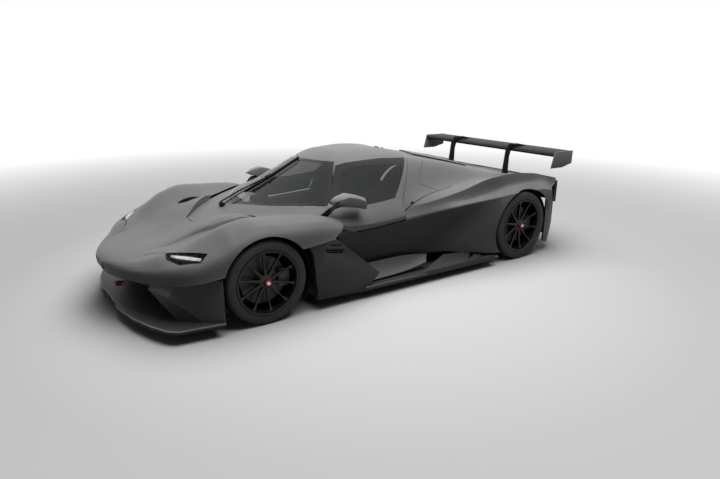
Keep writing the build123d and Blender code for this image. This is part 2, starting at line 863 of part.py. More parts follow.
hoop_back = station(-438)
hoop_front = station(-390)
HOOP = [(500, 600.2), (500, 1200), (-500, 1200), (-500, 600.2)]
HOOP_HOLE = [(440, 600), (400, 950), (310, 990), (-310, 990), (-400, 950), (-440, 600)]
with BuildPart() as roll_hoop:
    with BuildSketch(Plane.YZ.offset(hoop_back)):
        with BuildLine():
            Polyline(*HOOP, close=True)
        make_face()
        with BuildLine():
            Polyline(*HOOP_HOLE, close=True)
        make_face(mode=Mode.SUBTRACT)
    extrude(amount=hoop_front - hoop_back)
    add(rear_hollow, mode=Mode.INTERSECT)
save(roll_hoop.part, "roll_hoop")

DASH = placed([(690, 430), (650, 500), (680, 560), (780, 580), (880, 540), (860, 430)])
with BuildPart() as dashboard:
    add(side_prism(DASH, -far, far))
    add(cavity, mode=Mode.INTERSECT)
save(dashboard.part, "dashboard")

wheel_rim_y = 235
steering_x = station(540)
steering_z = 560
with BuildPart() as steering_wheel:
    add(bar((steering_x, wheel_rim_y, steering_z), (steering_x + 200, wheel_rim_y, 520), 24))
    with Locations(Plane(origin=(steering_x, wheel_rim_y, steering_z), z_dir=(1, 0, -0.2))):
        Torus(138, 14)
        Box(16, 276, 40)
    add(dashboard.part, mode=Mode.SUBTRACT)
save(steering_wheel.part, "steering_wheel")

SEAT_LINE = [
    (430, 250),
    (380, 180),
    (340, tub_seat + tub_floor),
    (-60, tub_seat + tub_floor),
    (-150, 200),
    (-310, 560),
    (-352, 800),
    (-300, 812),
    (-250, 600),
    (-70, 300),
    (60, 240),
    (300, 300),
]
SEAT = placed(SEAT_LINE)
seat_near = 30
seat_far = 440
with BuildPart() as seats:
    add(both_sides(side_prism(SEAT, seat_near, seat_far)))
save(seats.part, "seats")

# ================================================================ engine and gearbox
with BuildPart() as engine:
    add(block(station(-1080), station(-470), -260, 260, tub_seat, 690))
    add(block(station(-1700), station(-1080), -140, 140, 180, 470))
save(engine.part, "engine")

deck_beam = block(station(-1692), station(-1652), -300, 300, 470, high)
sill_bracket = both_sides(block(station(-420), station(-180), 640, 900, 340, 372))
rear_sill_bracket = both_sides(block(station(-1080), station(-1040), 180, 1000, 340, 372))
with BuildPart() as body_brackets:
    add(deck_beam)
    add(sill_bracket)
    add(rear_sill_bracket)
    add(rear_hollow, mode=Mode.INTERSECT)
    add(tub.part, mode=Mode.SUBTRACT)
    add(cavity, mode=Mode.SUBTRACT)
    add(engine.part, mode=Mode.SUBTRACT)
save(body_brackets.part, "body_brackets")

# ================================================================ wing
PLANE_LINE = [
    (-1925, 1032),
    (-1950, 1052),
    (-2040, 1062),
    (-2229, 1060),
    (-2229, 1054),
    (-2100, 1030),
    (-1990, 1008),
    (-1940, 1014),
]
PLANE = placed(PLANE_LINE)
ENDPLATE = placed([(-1933, 1066), (-2233, 1063), (-2229, 930), (-2072, 897), (-1888, 900)])
plane_end = wing_half_span - endplate_thickness
with BuildPart() as wing_plane:
    add(side_prism(PLANE, -plane_end, plane_end))
save(wing_plane.part, "wing_plane")

with BuildPart() as wing_endplates:
    add(both_sides(side_prism(ENDPLATE, plane_end, wing_half_span)))
save(wing_endplates.part, "wing_endplates")

STRUT_LINE = [
    (-1760, 700),
    (-1800, 790),
    (-1835, 1040),
    (-1880, 1098),
    (-2021, 1094),
    (-2150, 1062),
    (-2140, 1054),
    (-1960, 1044),
    (-1922, 1036),
    (-1896, 960),
    (-1886, 800),
    (-1920, 700),
]
STRUT = placed(STRUT_LINE)
with BuildPart() as wing_struts:
    add(both_sides(side_prism(STRUT, strut_y - strut_thickness / 2, strut_y + strut_thickness / 2)))
    add(wing_plane.part, mode=Mode.SUBTRACT)
    add(rear_outer, mode=Mode.SUBTRACT)
save(wing_struts.part, "wing_struts")

# ================================================================ wheels


def rim(axle_x, axle_z, middle_y, width, seat_radius):
    """A left wheel: barrel with two flanges, slender spokes, hub and centre-lock nut."""
    inner = middle_y - width / 2
    outer = middle_y + width / 2
    bead_in = inner + rim_flange_width
    bead_out = outer - rim_flange_width
    flange = seat_radius + rim_flange_height
    bore = seat_radius - rim_wall
    profile = [
        (bore, inner),
        (flange, inner),
        (flange, bead_in),
        (seat_radius, bead_in),
        (seat_radius, bead_out),
        (flange, bead_out),
        (flange, outer),
        (bore, outer),
    ]
    hub_out = outer - hub_face_inset
    hub_in = hub_out - hub_depth
    shaft_bore = spindle_radius + spindle_clearance
    with BuildPart() as body:
        add(turned(profile, axle_x, axle_z))
        add(cross_rod(axle_x, axle_z, hub_radius, hub_in, hub_out))
        add(cross_rod(axle_x, axle_z, wheel_nut_radius, hub_in, hub_out + wheel_nut_length - 8))
        with Locations(Plane(origin=(axle_x, hub_out - spoke_depth / 2, axle_z), z_dir=(0, 1, 0))):
            with PolarLocations((bore + hub_radius) / 2, spoke_count):
                Box(bore - hub_radius + 10, spoke_width, spoke_depth)
        add(cross_rod(axle_x, axle_z, shaft_bore, 0, hub_out - 6), mode=Mode.SUBTRACT)
    return body.part


def tyre(axle_x, axle_z, middle_y, width, radius, seat_radius):
    """A tyre standing on the rim between its flanges."""
    half = width / 2
    bead = half - rim_flange_width - 0.2
    flange = seat_radius + rim_flange_height + 1
    profile = [
        (seat_radius + 0.1, -bead),
        (flange, -bead),
        (flange + 12, -half),
        (radius - tyre_shoulder_radius, -half),
        (radius, tyre_shoulder_radius - half),
        (radius, half - tyre_shoulder_radius),
        (radius - tyre_shoulder_radius, half),
        (flange + 12, half),
        (flange, bead),
        (seat_radius + 0.1, bead),
    ]
    return turned([(r, middle_y + y) for r, y in profile], axle_x, axle_z)


def disc(axle_x, axle_z, hub_in):
    """A brake disc with its bell seated on the hub's inner face."""
    face = hub_in - disc_hub_gap
    shaft_bore = spindle_radius + spindle_clearance
    with BuildPart() as body:
        add(cross_rod(axle_x, axle_z, disc_radius, face - disc_thickness, face))
        add(cross_rod(axle_x, axle_z, hub_radius, face, hub_in))
        add(cross_rod(axle_x, axle_z, shaft_bore, 0, far), mode=Mode.SUBTRACT)
    return body.part


front_at = (front_axle_x, front_tyre_radius)
rear_at = (rear_axle_x, rear_tyre_radius)
front_hub_out = front_wheel_y + front_tyre_width / 2 - hub_face_inset
front_hub_in = front_hub_out - hub_depth
rear_hub_out = rear_wheel_y + rear_tyre_width / 2 - hub_face_inset
rear_hub_in = rear_hub_out - hub_depth

front_rim = rim(*front_at, front_wheel_y, front_tyre_width, front_seat_radius)
save(front_rim, "rim_front_left")
save(mirrored(front_rim), "rim_front_right")
front_tyre = tyre(
    *front_at, front_wheel_y, front_tyre_width, front_tyre_radius, front_seat_radius
)
save(front_tyre, "tyre_front_left")
save(mirrored(front_tyre), "tyre_front_right")
front_disc = disc(*front_at, front_hub_in)
save(front_disc, "disc_front_left")
save(mirrored(front_disc), "disc_front_right")

rear_rim = rim(*rear_at, rear_wheel_y, rear_tyre_width, rear_seat_radius)
save(rear_rim, "rim_rear_left")
save(mirrored(rear_rim), "rim_rear_right")
rear_tyre = tyre(*rear_at, rear_wheel_y, rear_tyre_width, rear_tyre_radius, rear_seat_radius)
save(rear_tyre, "tyre_rear_left")
save(mirrored(rear_tyre), "tyre_rear_right")
rear_disc = disc(*rear_at, rear_hub_in)
save(rear_disc, "disc_rear_left")
save(mirrored(rear_disc), "disc_rear_right")

# ================================================================ front knuckles and calipers
post_radius = 26
post_half = 112
ball_pin_radius = 9
cup_radius = 22
cup_gap = 6
cup_height = 26
carrier_radius = 46
caliper_gap = 6
caliper_reach = 214
caliper_near = 118
caliper_half_z = 72
caliper_inner_y = -22
caliper_outer_y = 56
carrier_arm = 190
carrier_arm_half = 30
carrier_arm_depth = 24


def caliper(axle_x, axle_z, disc_out, reach):
    """A brake caliper straddling the rear edge of the disc whose outer face is at disc_out."""
    disc_in = disc_out - disc_thickness
    slot = cross_rod(
        axle_x, axle_z, disc_radius + caliper_gap, disc_in - caliper_gap, disc_out + caliper_gap
    )
    pad_box = block(
        axle_x - reach,
        axle_x - caliper_near,
        disc_in + caliper_inner_y,
        disc_in + caliper_outer_y,
        axle_z - caliper_half_z,
        axle_z + caliper_half_z,
    )
    with BuildPart() as body:
        add(pad_box)
        add(cross_rod(axle_x, axle_z, reach, 0, far), mode=Mode.INTERSECT)
        add(slot, mode=Mode.SUBTRACT)
    return body.part


def carrier_bar(axle_x, axle_z, face):
    """The upright's rearward bar that the caliper is bolted to."""
    return block(
        axle_x - carrier_arm,
        axle_x,
        face - carrier_arm_depth,
        face,
        axle_z - carrier_arm_half,
        axle_z + carrier_arm_half,
    )


front_disc_face = front_hub_in - disc_hub_gap
front_carrier_face = front_disc_face - disc_thickness + caliper_inner_y
ball_pin_half = post_half + cup_gap + cup_height
with BuildPart() as knuckle:
    with Locations((front_axle_x, kingpin_y, front_tyre_radius)):
        Cylinder(post_radius, 2 * post_half)
        Cylinder(ball_pin_radius, 2 * ball_pin_half)
    add(cross_rod(*front_at, carrier_radius, kingpin_y, front_carrier_face))
    add(cross_rod(*front_at, spindle_radius, kingpin_y, front_hub_out - 12))
    add(carrier_bar(*front_at, front_carrier_face))
save(knuckle.part, "knuckle_left")
save(mirrored(knuckle.part), "knuckle_right")
front_caliper = caliper(*front_at, front_disc_face, caliper_reach)
save(front_caliper, "caliper_front_left")
save(mirrored(front_caliper), "caliper_front_right")

# ================================================================ front suspension
arm_tube = 13
# side of the axle (up or down), then the inner ends of the front and rear tube
FRONT_ARMS = [
    (1, (station(1440), 240, 440), (station(1180), 380, 440)),
    (-1, (station(1440), 240, 176), (station(1180), 380, 176)),
]
with BuildPart() as front_arms_left:
    for side, ahead, behind in FRONT_ARMS:
        cup_z = front_tyre_radius + side * (post_half + cup_gap + cup_height / 2)
        cup_at = (front_axle_x, kingpin_y, cup_z)
        add(bar(ahead, cup_at, arm_tube))
        add(bar(behind, cup_at, arm_tube))
        with Locations(cup_at):
            Cylinder(cup_radius, cup_height)
            Cylinder(ball_pin_radius + spindle_clearance, 4 * cup_height, mode=Mode.SUBTRACT)
with BuildPart() as front_wishbones:
    add(both_sides(front_arms_left.part))
    add(tub.part, mode=Mode.SUBTRACT)
    add(cavity, mode=Mode.SUBTRACT)
save(front_wishbones.part, "front_wishbones")

# ================================================================ rear suspension, half shafts
rear_disc_face = rear_hub_in - disc_hub_gap
rear_carrier_face = rear_disc_face - disc_thickness + caliper_inner_y
upright_in = 700
upright_depth = 60
upright_half = 46
upright_rise = 150
with BuildPart() as upright_left:
    with Locations((rear_axle_x, upright_in + upright_depth / 2, rear_tyre_radius)):
        Box(2 * upright_half, upright_depth, 2 * upright_rise)
    add(cross_rod(*rear_at, carrier_radius, upright_in, rear_carrier_face))
    add(carrier_bar(*rear_at, rear_carrier_face))
    add(cross_rod(*rear_at, spindle_radius + spindle_clearance, 0, far), mode=Mode.SUBTRACT)
with BuildPart() as rear_uprights:
    add(both_sides(upright_left.part))
save(rear_uprights.part, "rear_uprights")

with BuildPart() as rear_calipers:
    add(both_sides(caliper(*rear_at, rear_disc_face, caliper_reach)))
save(rear_calipers.part, "rear_calipers")

shaft_in = 152
shaft_neck = 18
shaft_step = upright_in - 20
with BuildPart() as half_shaft:
    add(cross_rod(*rear_at, shaft_neck, shaft_in, shaft_step))
    add(cross_rod(*rear_at, spindle_radius, shaft_step, rear_hub_out - 12))
save(half_shaft.part, "half_shaft_left")
save(mirrored(half_shaft.part), "half_shaft_right")

REAR_ARMS = [
    ((rear_axle_x + 152, 100, 430), (rear_axle_x + 20, upright_in + 20, 470)),
    ((rear_axle_x - 128, 100, 430), (rear_axle_x - 20, upright_in + 20, 470)),
    ((rear_axle_x + 152, 100, 210), (rear_axle_x + 20, upright_in + 20, 224)),
    ((rear_axle_x - 128, 100, 210), (rear_axle_x - 20, upright_in + 20, 224)),
]
with BuildPart() as rear_arms_left:
    for start, finish in REAR_ARMS:
        add(bar(start, finish, arm_tube))
with BuildPart() as rear_wishbones:
    add(both_sides(rear_arms_left.part))
    add(engine.part, mode=Mode.SUBTRACT)
    add(rear_uprights.part, mode=Mode.SUBTRACT)
save(rear_wishbones.part, "rear_wishbones")
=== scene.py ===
"""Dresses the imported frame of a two-seat track supercar: body skins, glass, cabin, wing and wheels.

Metres, +X forward, +Y to the car's left, +Z up, the origin on the ground under the car's middle.
The section tables are in millimetres, half sections from the middle of the car outwards.
"""

from __future__ import annotations

import itertools
import logging
import math
from collections.abc import Iterable, Sequence
from dataclasses import dataclass, field
from enum import Enum

import bmesh
import bpy
import numpy as np
from mathutils import Matrix, Vector
from mathutils.bvhtree import BVHTree


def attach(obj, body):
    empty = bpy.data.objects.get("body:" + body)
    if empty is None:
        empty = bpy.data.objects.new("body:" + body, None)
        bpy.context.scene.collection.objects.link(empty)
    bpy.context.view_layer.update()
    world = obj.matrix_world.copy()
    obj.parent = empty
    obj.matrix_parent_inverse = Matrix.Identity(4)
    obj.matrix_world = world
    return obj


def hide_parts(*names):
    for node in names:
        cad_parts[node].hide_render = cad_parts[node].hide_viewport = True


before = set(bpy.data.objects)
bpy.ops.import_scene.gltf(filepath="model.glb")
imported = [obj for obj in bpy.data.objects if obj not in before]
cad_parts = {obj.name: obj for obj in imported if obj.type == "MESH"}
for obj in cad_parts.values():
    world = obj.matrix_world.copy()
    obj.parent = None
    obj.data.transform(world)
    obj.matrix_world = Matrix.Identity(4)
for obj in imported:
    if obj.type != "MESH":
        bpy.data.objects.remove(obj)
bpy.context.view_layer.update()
LOG = logging.getLogger("supercar")
MM = 0.001
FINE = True

Piece = bpy.types.Object
Pair = tuple[float, float]
Outline = tuple[Pair, ...]
Triple = tuple[float, float, float]
Quad = tuple[int, int, int, int]
Row = tuple


class Body(str, Enum):
    """The moving bodies that a piece can ride on."""

    CHASSIS = "chassis"
    CANOPY = "canopy"
    FRONT_LEFT = "wheel_front_left"
    FRONT_RIGHT = "wheel_front_right"
    REAR_LEFT = "wheel_rear_left"
    REAR_RIGHT = "wheel_rear_right"


# ------------------------------------------------------------------ shader graph


class Channel:
    """A socket whose value can be used in Python arithmetic."""

    def __init__(self, graph: "Graph", socket: bpy.types.NodeSocket) -> None:
        """Wraps an output socket of one of the graph's nodes."""
        self.graph = graph
        self.socket = socket

    def __add__(self, other: "Channel | float") -> "Channel":
        """Sum."""
        return self.graph.math("ADD", self, other)

    def __radd__(self, other: float) -> "Channel":
        """Sum with a number on the left."""
        return self.graph.math("ADD", other, self)

    def __sub__(self, other: "Channel | float") -> "Channel":
        """Difference."""
        return self.graph.math("SUBTRACT", self, other)

    def __rsub__(self, other: float) -> "Channel":
        """Difference from a number."""
        return self.graph.math("SUBTRACT", other, self)

    def __mul__(self, other: "Channel | float") -> "Channel":
        """Product."""
        return self.graph.math("MULTIPLY", self, other)

    def __rmul__(self, other: float) -> "Channel":
        """Product with a number on the left."""
        return self.graph.math("MULTIPLY", other, self)


class Graph:
    """The node tree of one material or of the world."""

    def __init__(self, tree: bpy.types.NodeTree) -> None:
        """Empties the node tree that the graph is built in."""
        self.tree = tree
        tree.nodes.clear()

    def node(
        self, kind: str, settings: dict | None = None, inputs: dict | None = None,
    ) -> bpy.types.Node:
        """Adds a node.

        Args:
            kind: The node's type name.
            settings: Attributes set first; "stops" fills a colour ramp.
            inputs: Values or channels by socket name or index.

        Returns:
            The new node.
        """
        made = self.tree.nodes.new(kind)
        for name, value in (settings or {}).items():
            if name == "stops":
                self._fill_ramp(made.color_ramp, value)
            else:
                setattr(made, name, value)
        for key, value in (inputs or {}).items():
            target = made.inputs[key]
            if isinstance(value, Channel):
                self.tree.links.new(value.socket, target)
            else:
                target.default_value = value
        return made

    @staticmethod
    def _fill_ramp(ramp: bpy.types.ColorRamp, stops: Sequence[tuple[float, float]]) -> None:
        """Sets a grey ramp's stops.

        Args:
            ramp: The ramp.
            stops: Position and grey level of each stop, two or more.
        """
        while len(ramp.elements) < len(stops):
            ramp.elements.new(0.5)
        for element, (place, grey) in zip(ramp.elements, stops):
            element.position = place
            element.color = (grey, grey, grey, 1.0)

    def math(self, operation: str, left: Channel | float, right: Channel | float) -> Channel:
        """The result of one Math node on two operands."""
        made = self.node("ShaderNodeMath", {"operation": operation}, {0: left, 1: right})
        return Channel(self, made.outputs[0])

    def place(self) -> Channel:
        """Object coordinates."""
        return Channel(self, self.node("ShaderNodeTexCoord").outputs["Object"])

    def stretched(self, scale: Triple) -> Channel:
        """Object coordinates, times a factor along each axis."""
        made = self.node("ShaderNodeMapping", None, {"Vector": self.place(), "Scale": scale})
        return Channel(self, made.outputs["Vector"])

    def noise(
        self, scale: float, detail: float = 3.0, rough: float = 0.5, vector: Channel | None = None,
    ) -> Channel:
        """Fractal noise from 0 to 1.

        Args:
            scale: Features per metre.
            detail: Octaves.
            rough: Strength of the fine octaves.
            vector: Coordinates, or None for the object's own.

        Returns:
            The noise.
        """
        inputs = {
            "Vector": vector or self.place(),
            "Scale": scale,
            "Detail": detail,
            "Roughness": rough,
        }
        return Channel(self, self.node("ShaderNodeTexNoise", None, inputs).outputs["Fac"])

    def ramp(self, value: Channel, stops: Sequence[tuple[float, float]]) -> Channel:
        """The grey level of a value on a ramp of positions and grey levels."""
        made = self.node("ShaderNodeValToRGB", {"stops": stops}, {"Fac": value})
        return Channel(self, made.outputs["Color"])

    def mix(self, factor: Channel, low: Triple, high: Triple) -> Channel:
        """A colour between two colours.

        Args:
            factor: 0 gives low, 1 gives high.
            low: The first colour.
            high: The second colour.

        Returns:
            The mixed colour.
        """
        made = self.node(
            "ShaderNodeMix",
            {"data_type": "RGBA"},
            {0: factor, 6: (*low, 1.0), 7: (*high, 1.0)},
        )
        return Channel(self, made.outputs[2])

    def bump(self, height: Channel, strength: float, distance: float) -> Channel:
        """A bumped normal.

        Args:
            height: The height field.
            strength: Bump strength.
            distance: Height in metres that 1 stands for.

        Returns:
            The normal.
        """
        made = self.node(
            "ShaderNodeBump", None, {"Height": height, "Strength": strength, "Distance": distance}
        )
        return Channel(self, made.outputs["Normal"])


# ------------------------------------------------------------------ finishes


@dataclass(frozen=True)
class Finish:
    """A material: its two tones, gloss and fine relief."""

    name: str
    low: Triple
    high: Triple
    roughness: float
    roughness_spread: float = 0.06
    metallic: float = 0.0
    coat: float = 0.0
    coat_roughness: float = 0.1
    grain: float = 900.0
    cloud: float = 3.0
    relief: float = 0.05
    relief_height: float = 0.0004
    alpha: float = 1.0
    glow: float = 0.0
    specular: float = 0.5

    def pattern(self, graph: Graph) -> tuple[Channel, Channel]:
        """The tone mask and the height field.

        Args:
            graph: The material's graph.

        Returns:
            Tone from 0 to 1, and height from 0 to 1.
        """
        fine = graph.noise(self.grain, 2.0, 0.6)
        broad = graph.noise(self.cloud, 3.0, 0.55)
        tone = graph.ramp(fine * 0.45 + broad * 0.55, ((0.32, 0.0), (0.68, 1.0)))
        return tone, fine

    def build(self) -> bpy.types.Material:
        """Makes the material.

        Returns:
            The new material.
        """
        made = bpy.data.materials.new(f"{self.name}_finish")
        made.use_nodes = True
        graph = Graph(made.node_tree)
        tone, height = self.pattern(graph)
        wear = graph.noise(self.cloud * 4 + 2, 4.0, 0.6)
        inputs = {
            "Base Color": graph.mix(tone, self.low, self.high),
            "Metallic": self.metallic,
            "Roughness": wear * (2 * self.roughness_spread) + (self.roughness - self.roughness_spread),
            "Coat Weight": self.coat,
            "Coat Roughness": self.coat_roughness,
            "Specular IOR Level": self.specular,
            "Alpha": self.alpha,
            "Normal": graph.bump(height, self.relief, self.relief_height),
        }
        if self.glow > 0:
            inputs["Emission Color"] = (*self.high, 1.0)
            inputs["Emission Strength"] = self.glow
        shader = graph.node("ShaderNodeBsdfPrincipled", None, inputs)
        graph.node(
            "ShaderNodeOutputMaterial", None, {"Surface": Channel(graph, shader.outputs["BSDF"])}
        )
        return made


@dataclass(frozen=True)
class WovenFinish(Finish):
    """A cloth weave: two crossing sets of yarns."""

    pitch: float = 0.002

    def pattern(self, graph: Graph) -> tuple[Channel, Channel]:
        """Crossing waves with a little noise."""
        count = 1.0 / self.pitch
        waves = []
        for direction in ("X", "Z"):
            made = graph.node(
                "ShaderNodeTexWave",
                {"bands_direction": direction},
                {"Vector": graph.place(), "Scale": count / 6.28, "Distortion": 0.4},
            )
            waves.append(Channel(graph, made.outputs["Fac"]))
        weave = graph.math("MAXIMUM", waves[0], waves[1])
        tone = weave * 0.7 + graph.noise(self.cloud, 3.0) * 0.3
        return tone, weave


@dataclass(frozen=True)
class RubberFinish(Finish):
    """Tyre rubber with dry dust."""

    def pattern(self, graph: Graph) -> tuple[Channel, Channel]:
        """Dust patches over a fine grain."""
        dust = graph.noise(9.0, 5.0, 0.62)
        fine = graph.noise(self.grain, 2.0, 0.6)
        tone = graph.ramp(dust * 0.7 + fine * 0.3, ((0.35, 0.0), (0.72, 1.0)))
        return tone, fine * 0.6 + dust * 0.4


@dataclass(frozen=True)
class TurnedFinish(Finish):
    """Machined metal with fine turning marks."""

    def pattern(self, graph: Graph) -> tuple[Channel, Channel]:
        """Stretched noise as turning marks."""
        marks = graph.noise(60.0, 4.0, 0.7, graph.stretched((1.0, 40.0, 1.0)))
        broad = graph.noise(self.cloud, 3.0, 0.55)
        return marks * 0.6 + broad * 0.4, marks


@dataclass(frozen=True)
class PaintedShadeFinish(Finish):
    """A finish with painted shade: dark at the front of the flanks and lightening across a slanted
    band.
    """

    # where the painted shade's band starts, how far it runs and how much it leans with height
    start: float = -0.055
    run: float = 0.40
    lean: float = 1.64

    def pattern(self, graph: Graph) -> tuple[Channel, Channel]:
        """Painted shade: a slanted fade over a faint cloud."""
        parts = graph.node("ShaderNodeSeparateXYZ", None, {"Vector": graph.place()})
        along = Channel(graph, parts.outputs["X"]) + Channel(graph, parts.outputs["Z"]) * self.lean
        share = (along * -1.0 + self.start) * (1.0 / self.run) + 0.5
        share = graph.math("MINIMUM", graph.math("MAXIMUM", share, 0.0), 1.0)
        fine = graph.noise(self.grain, 2.0, 0.6)
        grey = graph.ramp(share, ((0.0, 0.0), (0.5, 0.5), (1.0, 1.0)))
        return grey * 0.92 + graph.noise(self.cloud, 3.0) * 0.08, fine


def even(tone: float) -> Triple:
    """A colour without a hue."""
    return (tone, tone, tone)


class Paint(Enum):
    """Every finish on the car."""

    SATIN = Finish(
        "satin_body", (0.050, 0.051, 0.050), (0.062, 0.063, 0.061), 0.44, 0.03, grain=1400, cloud=1.6,
        relief=0.04, specular=0.22,
    )
    SATIN_DARK = Finish(
        "satin_dark", even(0.018), even(0.026), 0.46, 0.04, grain=1400, cloud=2.0, relief=0.04,
        specular=0.25,
    )
    # the flanks' finish paints shade: near-black at the front, fading to the satin body tone across a
    # slanted band
    FLANK = PaintedShadeFinish(
        "satin_flank_painted_shade", even(0.008), (0.056, 0.057, 0.056), 0.44, 0.03, grain=1400, cloud=1.6,
        relief=0.04, specular=0.2,
    )
    GREY = Finish(
        "satin_grey", (0.066, 0.067, 0.066), (0.086, 0.087, 0.086), 0.42, 0.04, grain=1200, cloud=3.0,
        relief=0.04, specular=0.3,
    )
    GLOSS = Finish(
        "gloss_black", (0.005, 0.005, 0.006), (0.009, 0.009, 0.010), 0.22, 0.05, grain=800, cloud=6.0,
        relief=0.02, specular=0.4,
    )
    WING = Finish(
        "wing_black", (0.006, 0.006, 0.007), (0.011, 0.011, 0.012), 0.42, 0.04, grain=900, cloud=4.0,
        relief=0.03, specular=0.03,
    )
    MESH = Finish(
        "mesh_black", even(0.006), even(0.014), 0.5, 0.08, grain=1500, cloud=12.0, relief=0.1,
        specular=0.3,
    )
    CAVITY = Finish(
        "cavity_black", even(0.003), even(0.007), 0.75, 0.08, grain=700, cloud=8.0, relief=0.1,
        specular=0.1,
    )
    STRAP = WovenFinish(
        "strap_red", (0.30, 0.012, 0.016), (0.50, 0.030, 0.035), 0.7, 0.05, relief=0.5,
        relief_height=0.0004, pitch=0.0022,
    )
    LENS = Finish(
        "lamp_lens", even(0.006), even(0.010), 0.06, 0.03, grain=300, cloud=5.0, relief=0.01,
        alpha=0.10, specular=0.3,
    )
    LIGHT_BAR = Finish(
        "lamp_bar", (0.10, 0.105, 0.11), (0.30, 0.305, 0.31), 0.25, 0.05, coat=0.3, grain=70,
        cloud=45.0, relief=0.3, glow=0.12,
    )
    TAIL_RED = Finish(
        "tail_lamp_red", (0.20, 0.006, 0.006), (0.36, 0.012, 0.012), 0.15, 0.04, coat=1.0, grain=300,
        cloud=20.0, relief=0.05,
    )
    GLASS = Finish(
        "tinted_glass", (0.006, 0.007, 0.007), (0.010, 0.011, 0.011), 0.04, 0.02, grain=200, cloud=2.0,
        relief=0.004, alpha=0.45, specular=0.55,
    )
    FRIT = Finish(
        "frit_black", even(0.004), even(0.007), 0.14, 0.03, grain=400, cloud=4.0, relief=0.01,
        specular=0.35,
    )
    EXHAUST = TurnedFinish(
        "exhaust_metal", (0.22, 0.20, 0.18), (0.42, 0.38, 0.34), 0.34, 0.08, metallic=1.0, grain=600,
        cloud=14.0, relief=0.1,
    )
    CAST = Finish(
        "cast_grey", even(0.06), even(0.11), 0.48, 0.08, metallic=0.75, grain=800, cloud=12.0,
        relief=0.25,
    )
    STEEL = Finish(
        "steel_black", even(0.012), even(0.022), 0.42, 0.08, metallic=0.2, grain=900, cloud=9.0,
        relief=0.1,
    )
    BRIGHT = TurnedFinish(
        "bright_steel", even(0.45), (0.62, 0.62, 0.61), 0.24, 0.06, metallic=1.0, grain=900, cloud=20.0,
        relief=0.05,
    )
    NUT_RED = Finish(
        "nut_red", (0.14, 0.010, 0.014), (0.24, 0.016, 0.022), 0.36, 0.05, metallic=0.6, coat=0.2,
        grain=900, cloud=20.0, relief=0.05,
    )
    RIM = Finish(
        "rim_black", even(0.003), even(0.006), 0.16, 0.05, grain=1200, cloud=9.0, relief=0.03,
        specular=0.3,
    )
    RUBBER = RubberFinish(
        "tyre_rubber", (0.016, 0.016, 0.015), (0.030, 0.029, 0.028), 0.72, 0.08, grain=900, cloud=6.0,
        relief=0.25, specular=0.35,
    )
    DISC = TurnedFinish(
        "disc_steel", even(0.02), even(0.05), 0.40, 0.08, metallic=0.8, grain=900, cloud=9.0,
        relief=0.08,
    )
    CALIPER = Finish(
        "caliper_grey", (0.035, 0.035, 0.036), (0.060, 0.060, 0.062), 0.42, 0.06, metallic=0.4,
        grain=900, cloud=12.0, relief=0.1,
    )
    SEAT = WovenFinish(
        "seat_fabric", (0.010, 0.010, 0.011), (0.024, 0.024, 0.026), 0.85, 0.05, relief=0.6,
        relief_height=0.0006, pitch=0.003,
    )
    SHELL = WovenFinish(
        "seat_shell", (0.014, 0.014, 0.015), (0.030, 0.030, 0.032), 0.36, 0.05, coat=0.15, relief=0.1,
        relief_height=0.0003, pitch=0.006,
    )
    WEBBING = WovenFinish(
        "harness_webbing", even(0.14), even(0.26), 0.7, 0.05, relief=0.6, relief_height=0.0004,
        pitch=0.0025,
    )
    TRIM = Finish(
        "cabin_trim", (0.012, 0.012, 0.013), (0.022, 0.022, 0.023), 0.62, 0.08, grain=700, cloud=9.0,
        relief=0.35,
    )

    def material(self) -> bpy.types.Material:
        """The finish's material, made on first use."""
        kept = bpy.data.materials.get(f"{self.value.name}_finish")
        return kept or self.value.build()


# ------------------------------------------------------------------ mesh tools


def circle(steps: int) -> np.ndarray:
    """Even angles once round, in radians."""
    return np.linspace(0, 2 * math.pi, steps, endpoint=False)


def in_metres(rings: Iterable[Iterable[Triple]]) -> list[Triple]:
    """Every point of the rings, from millimetres to metres."""
    return [tuple(v * MM for v in point) for ring in rings for point in ring]


def grid_faces(rows: int, columns: int, wrap: bool = False, around: bool = False) -> list[Quad]:
    """The four-sided faces between neighbouring rows of points.

    Args:
        rows: Rows of points.
        columns: Points in a row.
        wrap: Whether each row closes on itself.
        around: Whether the last row joins the first.

    Returns:
        Vertex numbers of each face.
    """
    return [
        (
            i * columns + j, i * columns + (j + 1) % columns,
            (i + 1) % rows * columns + (j + 1) % columns, (i + 1) % rows * columns + j,
        )
        for i in range(rows if around else rows - 1)
        for j in range(columns if wrap else columns - 1)
    ]


def heading(line: Sequence[Pair], index: int) -> np.ndarray:
    """The unit direction of a flat line at one of its points."""
    last = len(line) - 1
    ahead = np.array(line[min(index + 1, last)], float) - np.array(line[max(index - 1, 0)], float)
    return ahead / np.linalg.norm(ahead)


def course(line: Sequence[Vector], index: int) -> Vector:
    """The unit direction of a line in space at one of its points."""
    return (line[min(index + 1, len(line) - 1)] - line[max(index - 1, 0)]).normalized()


def linked(name: str, data: bpy.types.ID) -> Piece:
    """A new object in the scene.

    Args:
        name: Its name.
        data: Its mesh, camera or lamp.

    Returns:
        The object.
    """
    made = bpy.data.objects.new(name, data)
    bpy.context.scene.collection.objects.link(made)
    return made


def new_object(name: str, points: Sequence, faces: Sequence) -> Piece:
    """An object from points and faces.

    Args:
        name: The object's name.
        points: Vertex positions in metres.
        faces: Vertex numbers of each face.

    Returns:
        The linked object.
    """
    mesh = bpy.data.meshes.new(name)
    mesh.from_pydata([tuple(map(float, p)) for p in points], [], [list(map(int, f)) for f in faces])
    mesh.validate()
    return linked(name, mesh)


def baked(piece: Piece) -> Piece:
    """Applies the object's modifiers to its mesh.

    Args:
        piece: The object.

    Returns:
        The same object.
    """
    bpy.context.view_layer.update()
    graph = bpy.context.evaluated_depsgraph_get()
    mesh = bpy.data.meshes.new_from_object(piece.evaluated_get(graph))
    piece.modifiers.clear()
    piece.data = mesh
    return piece


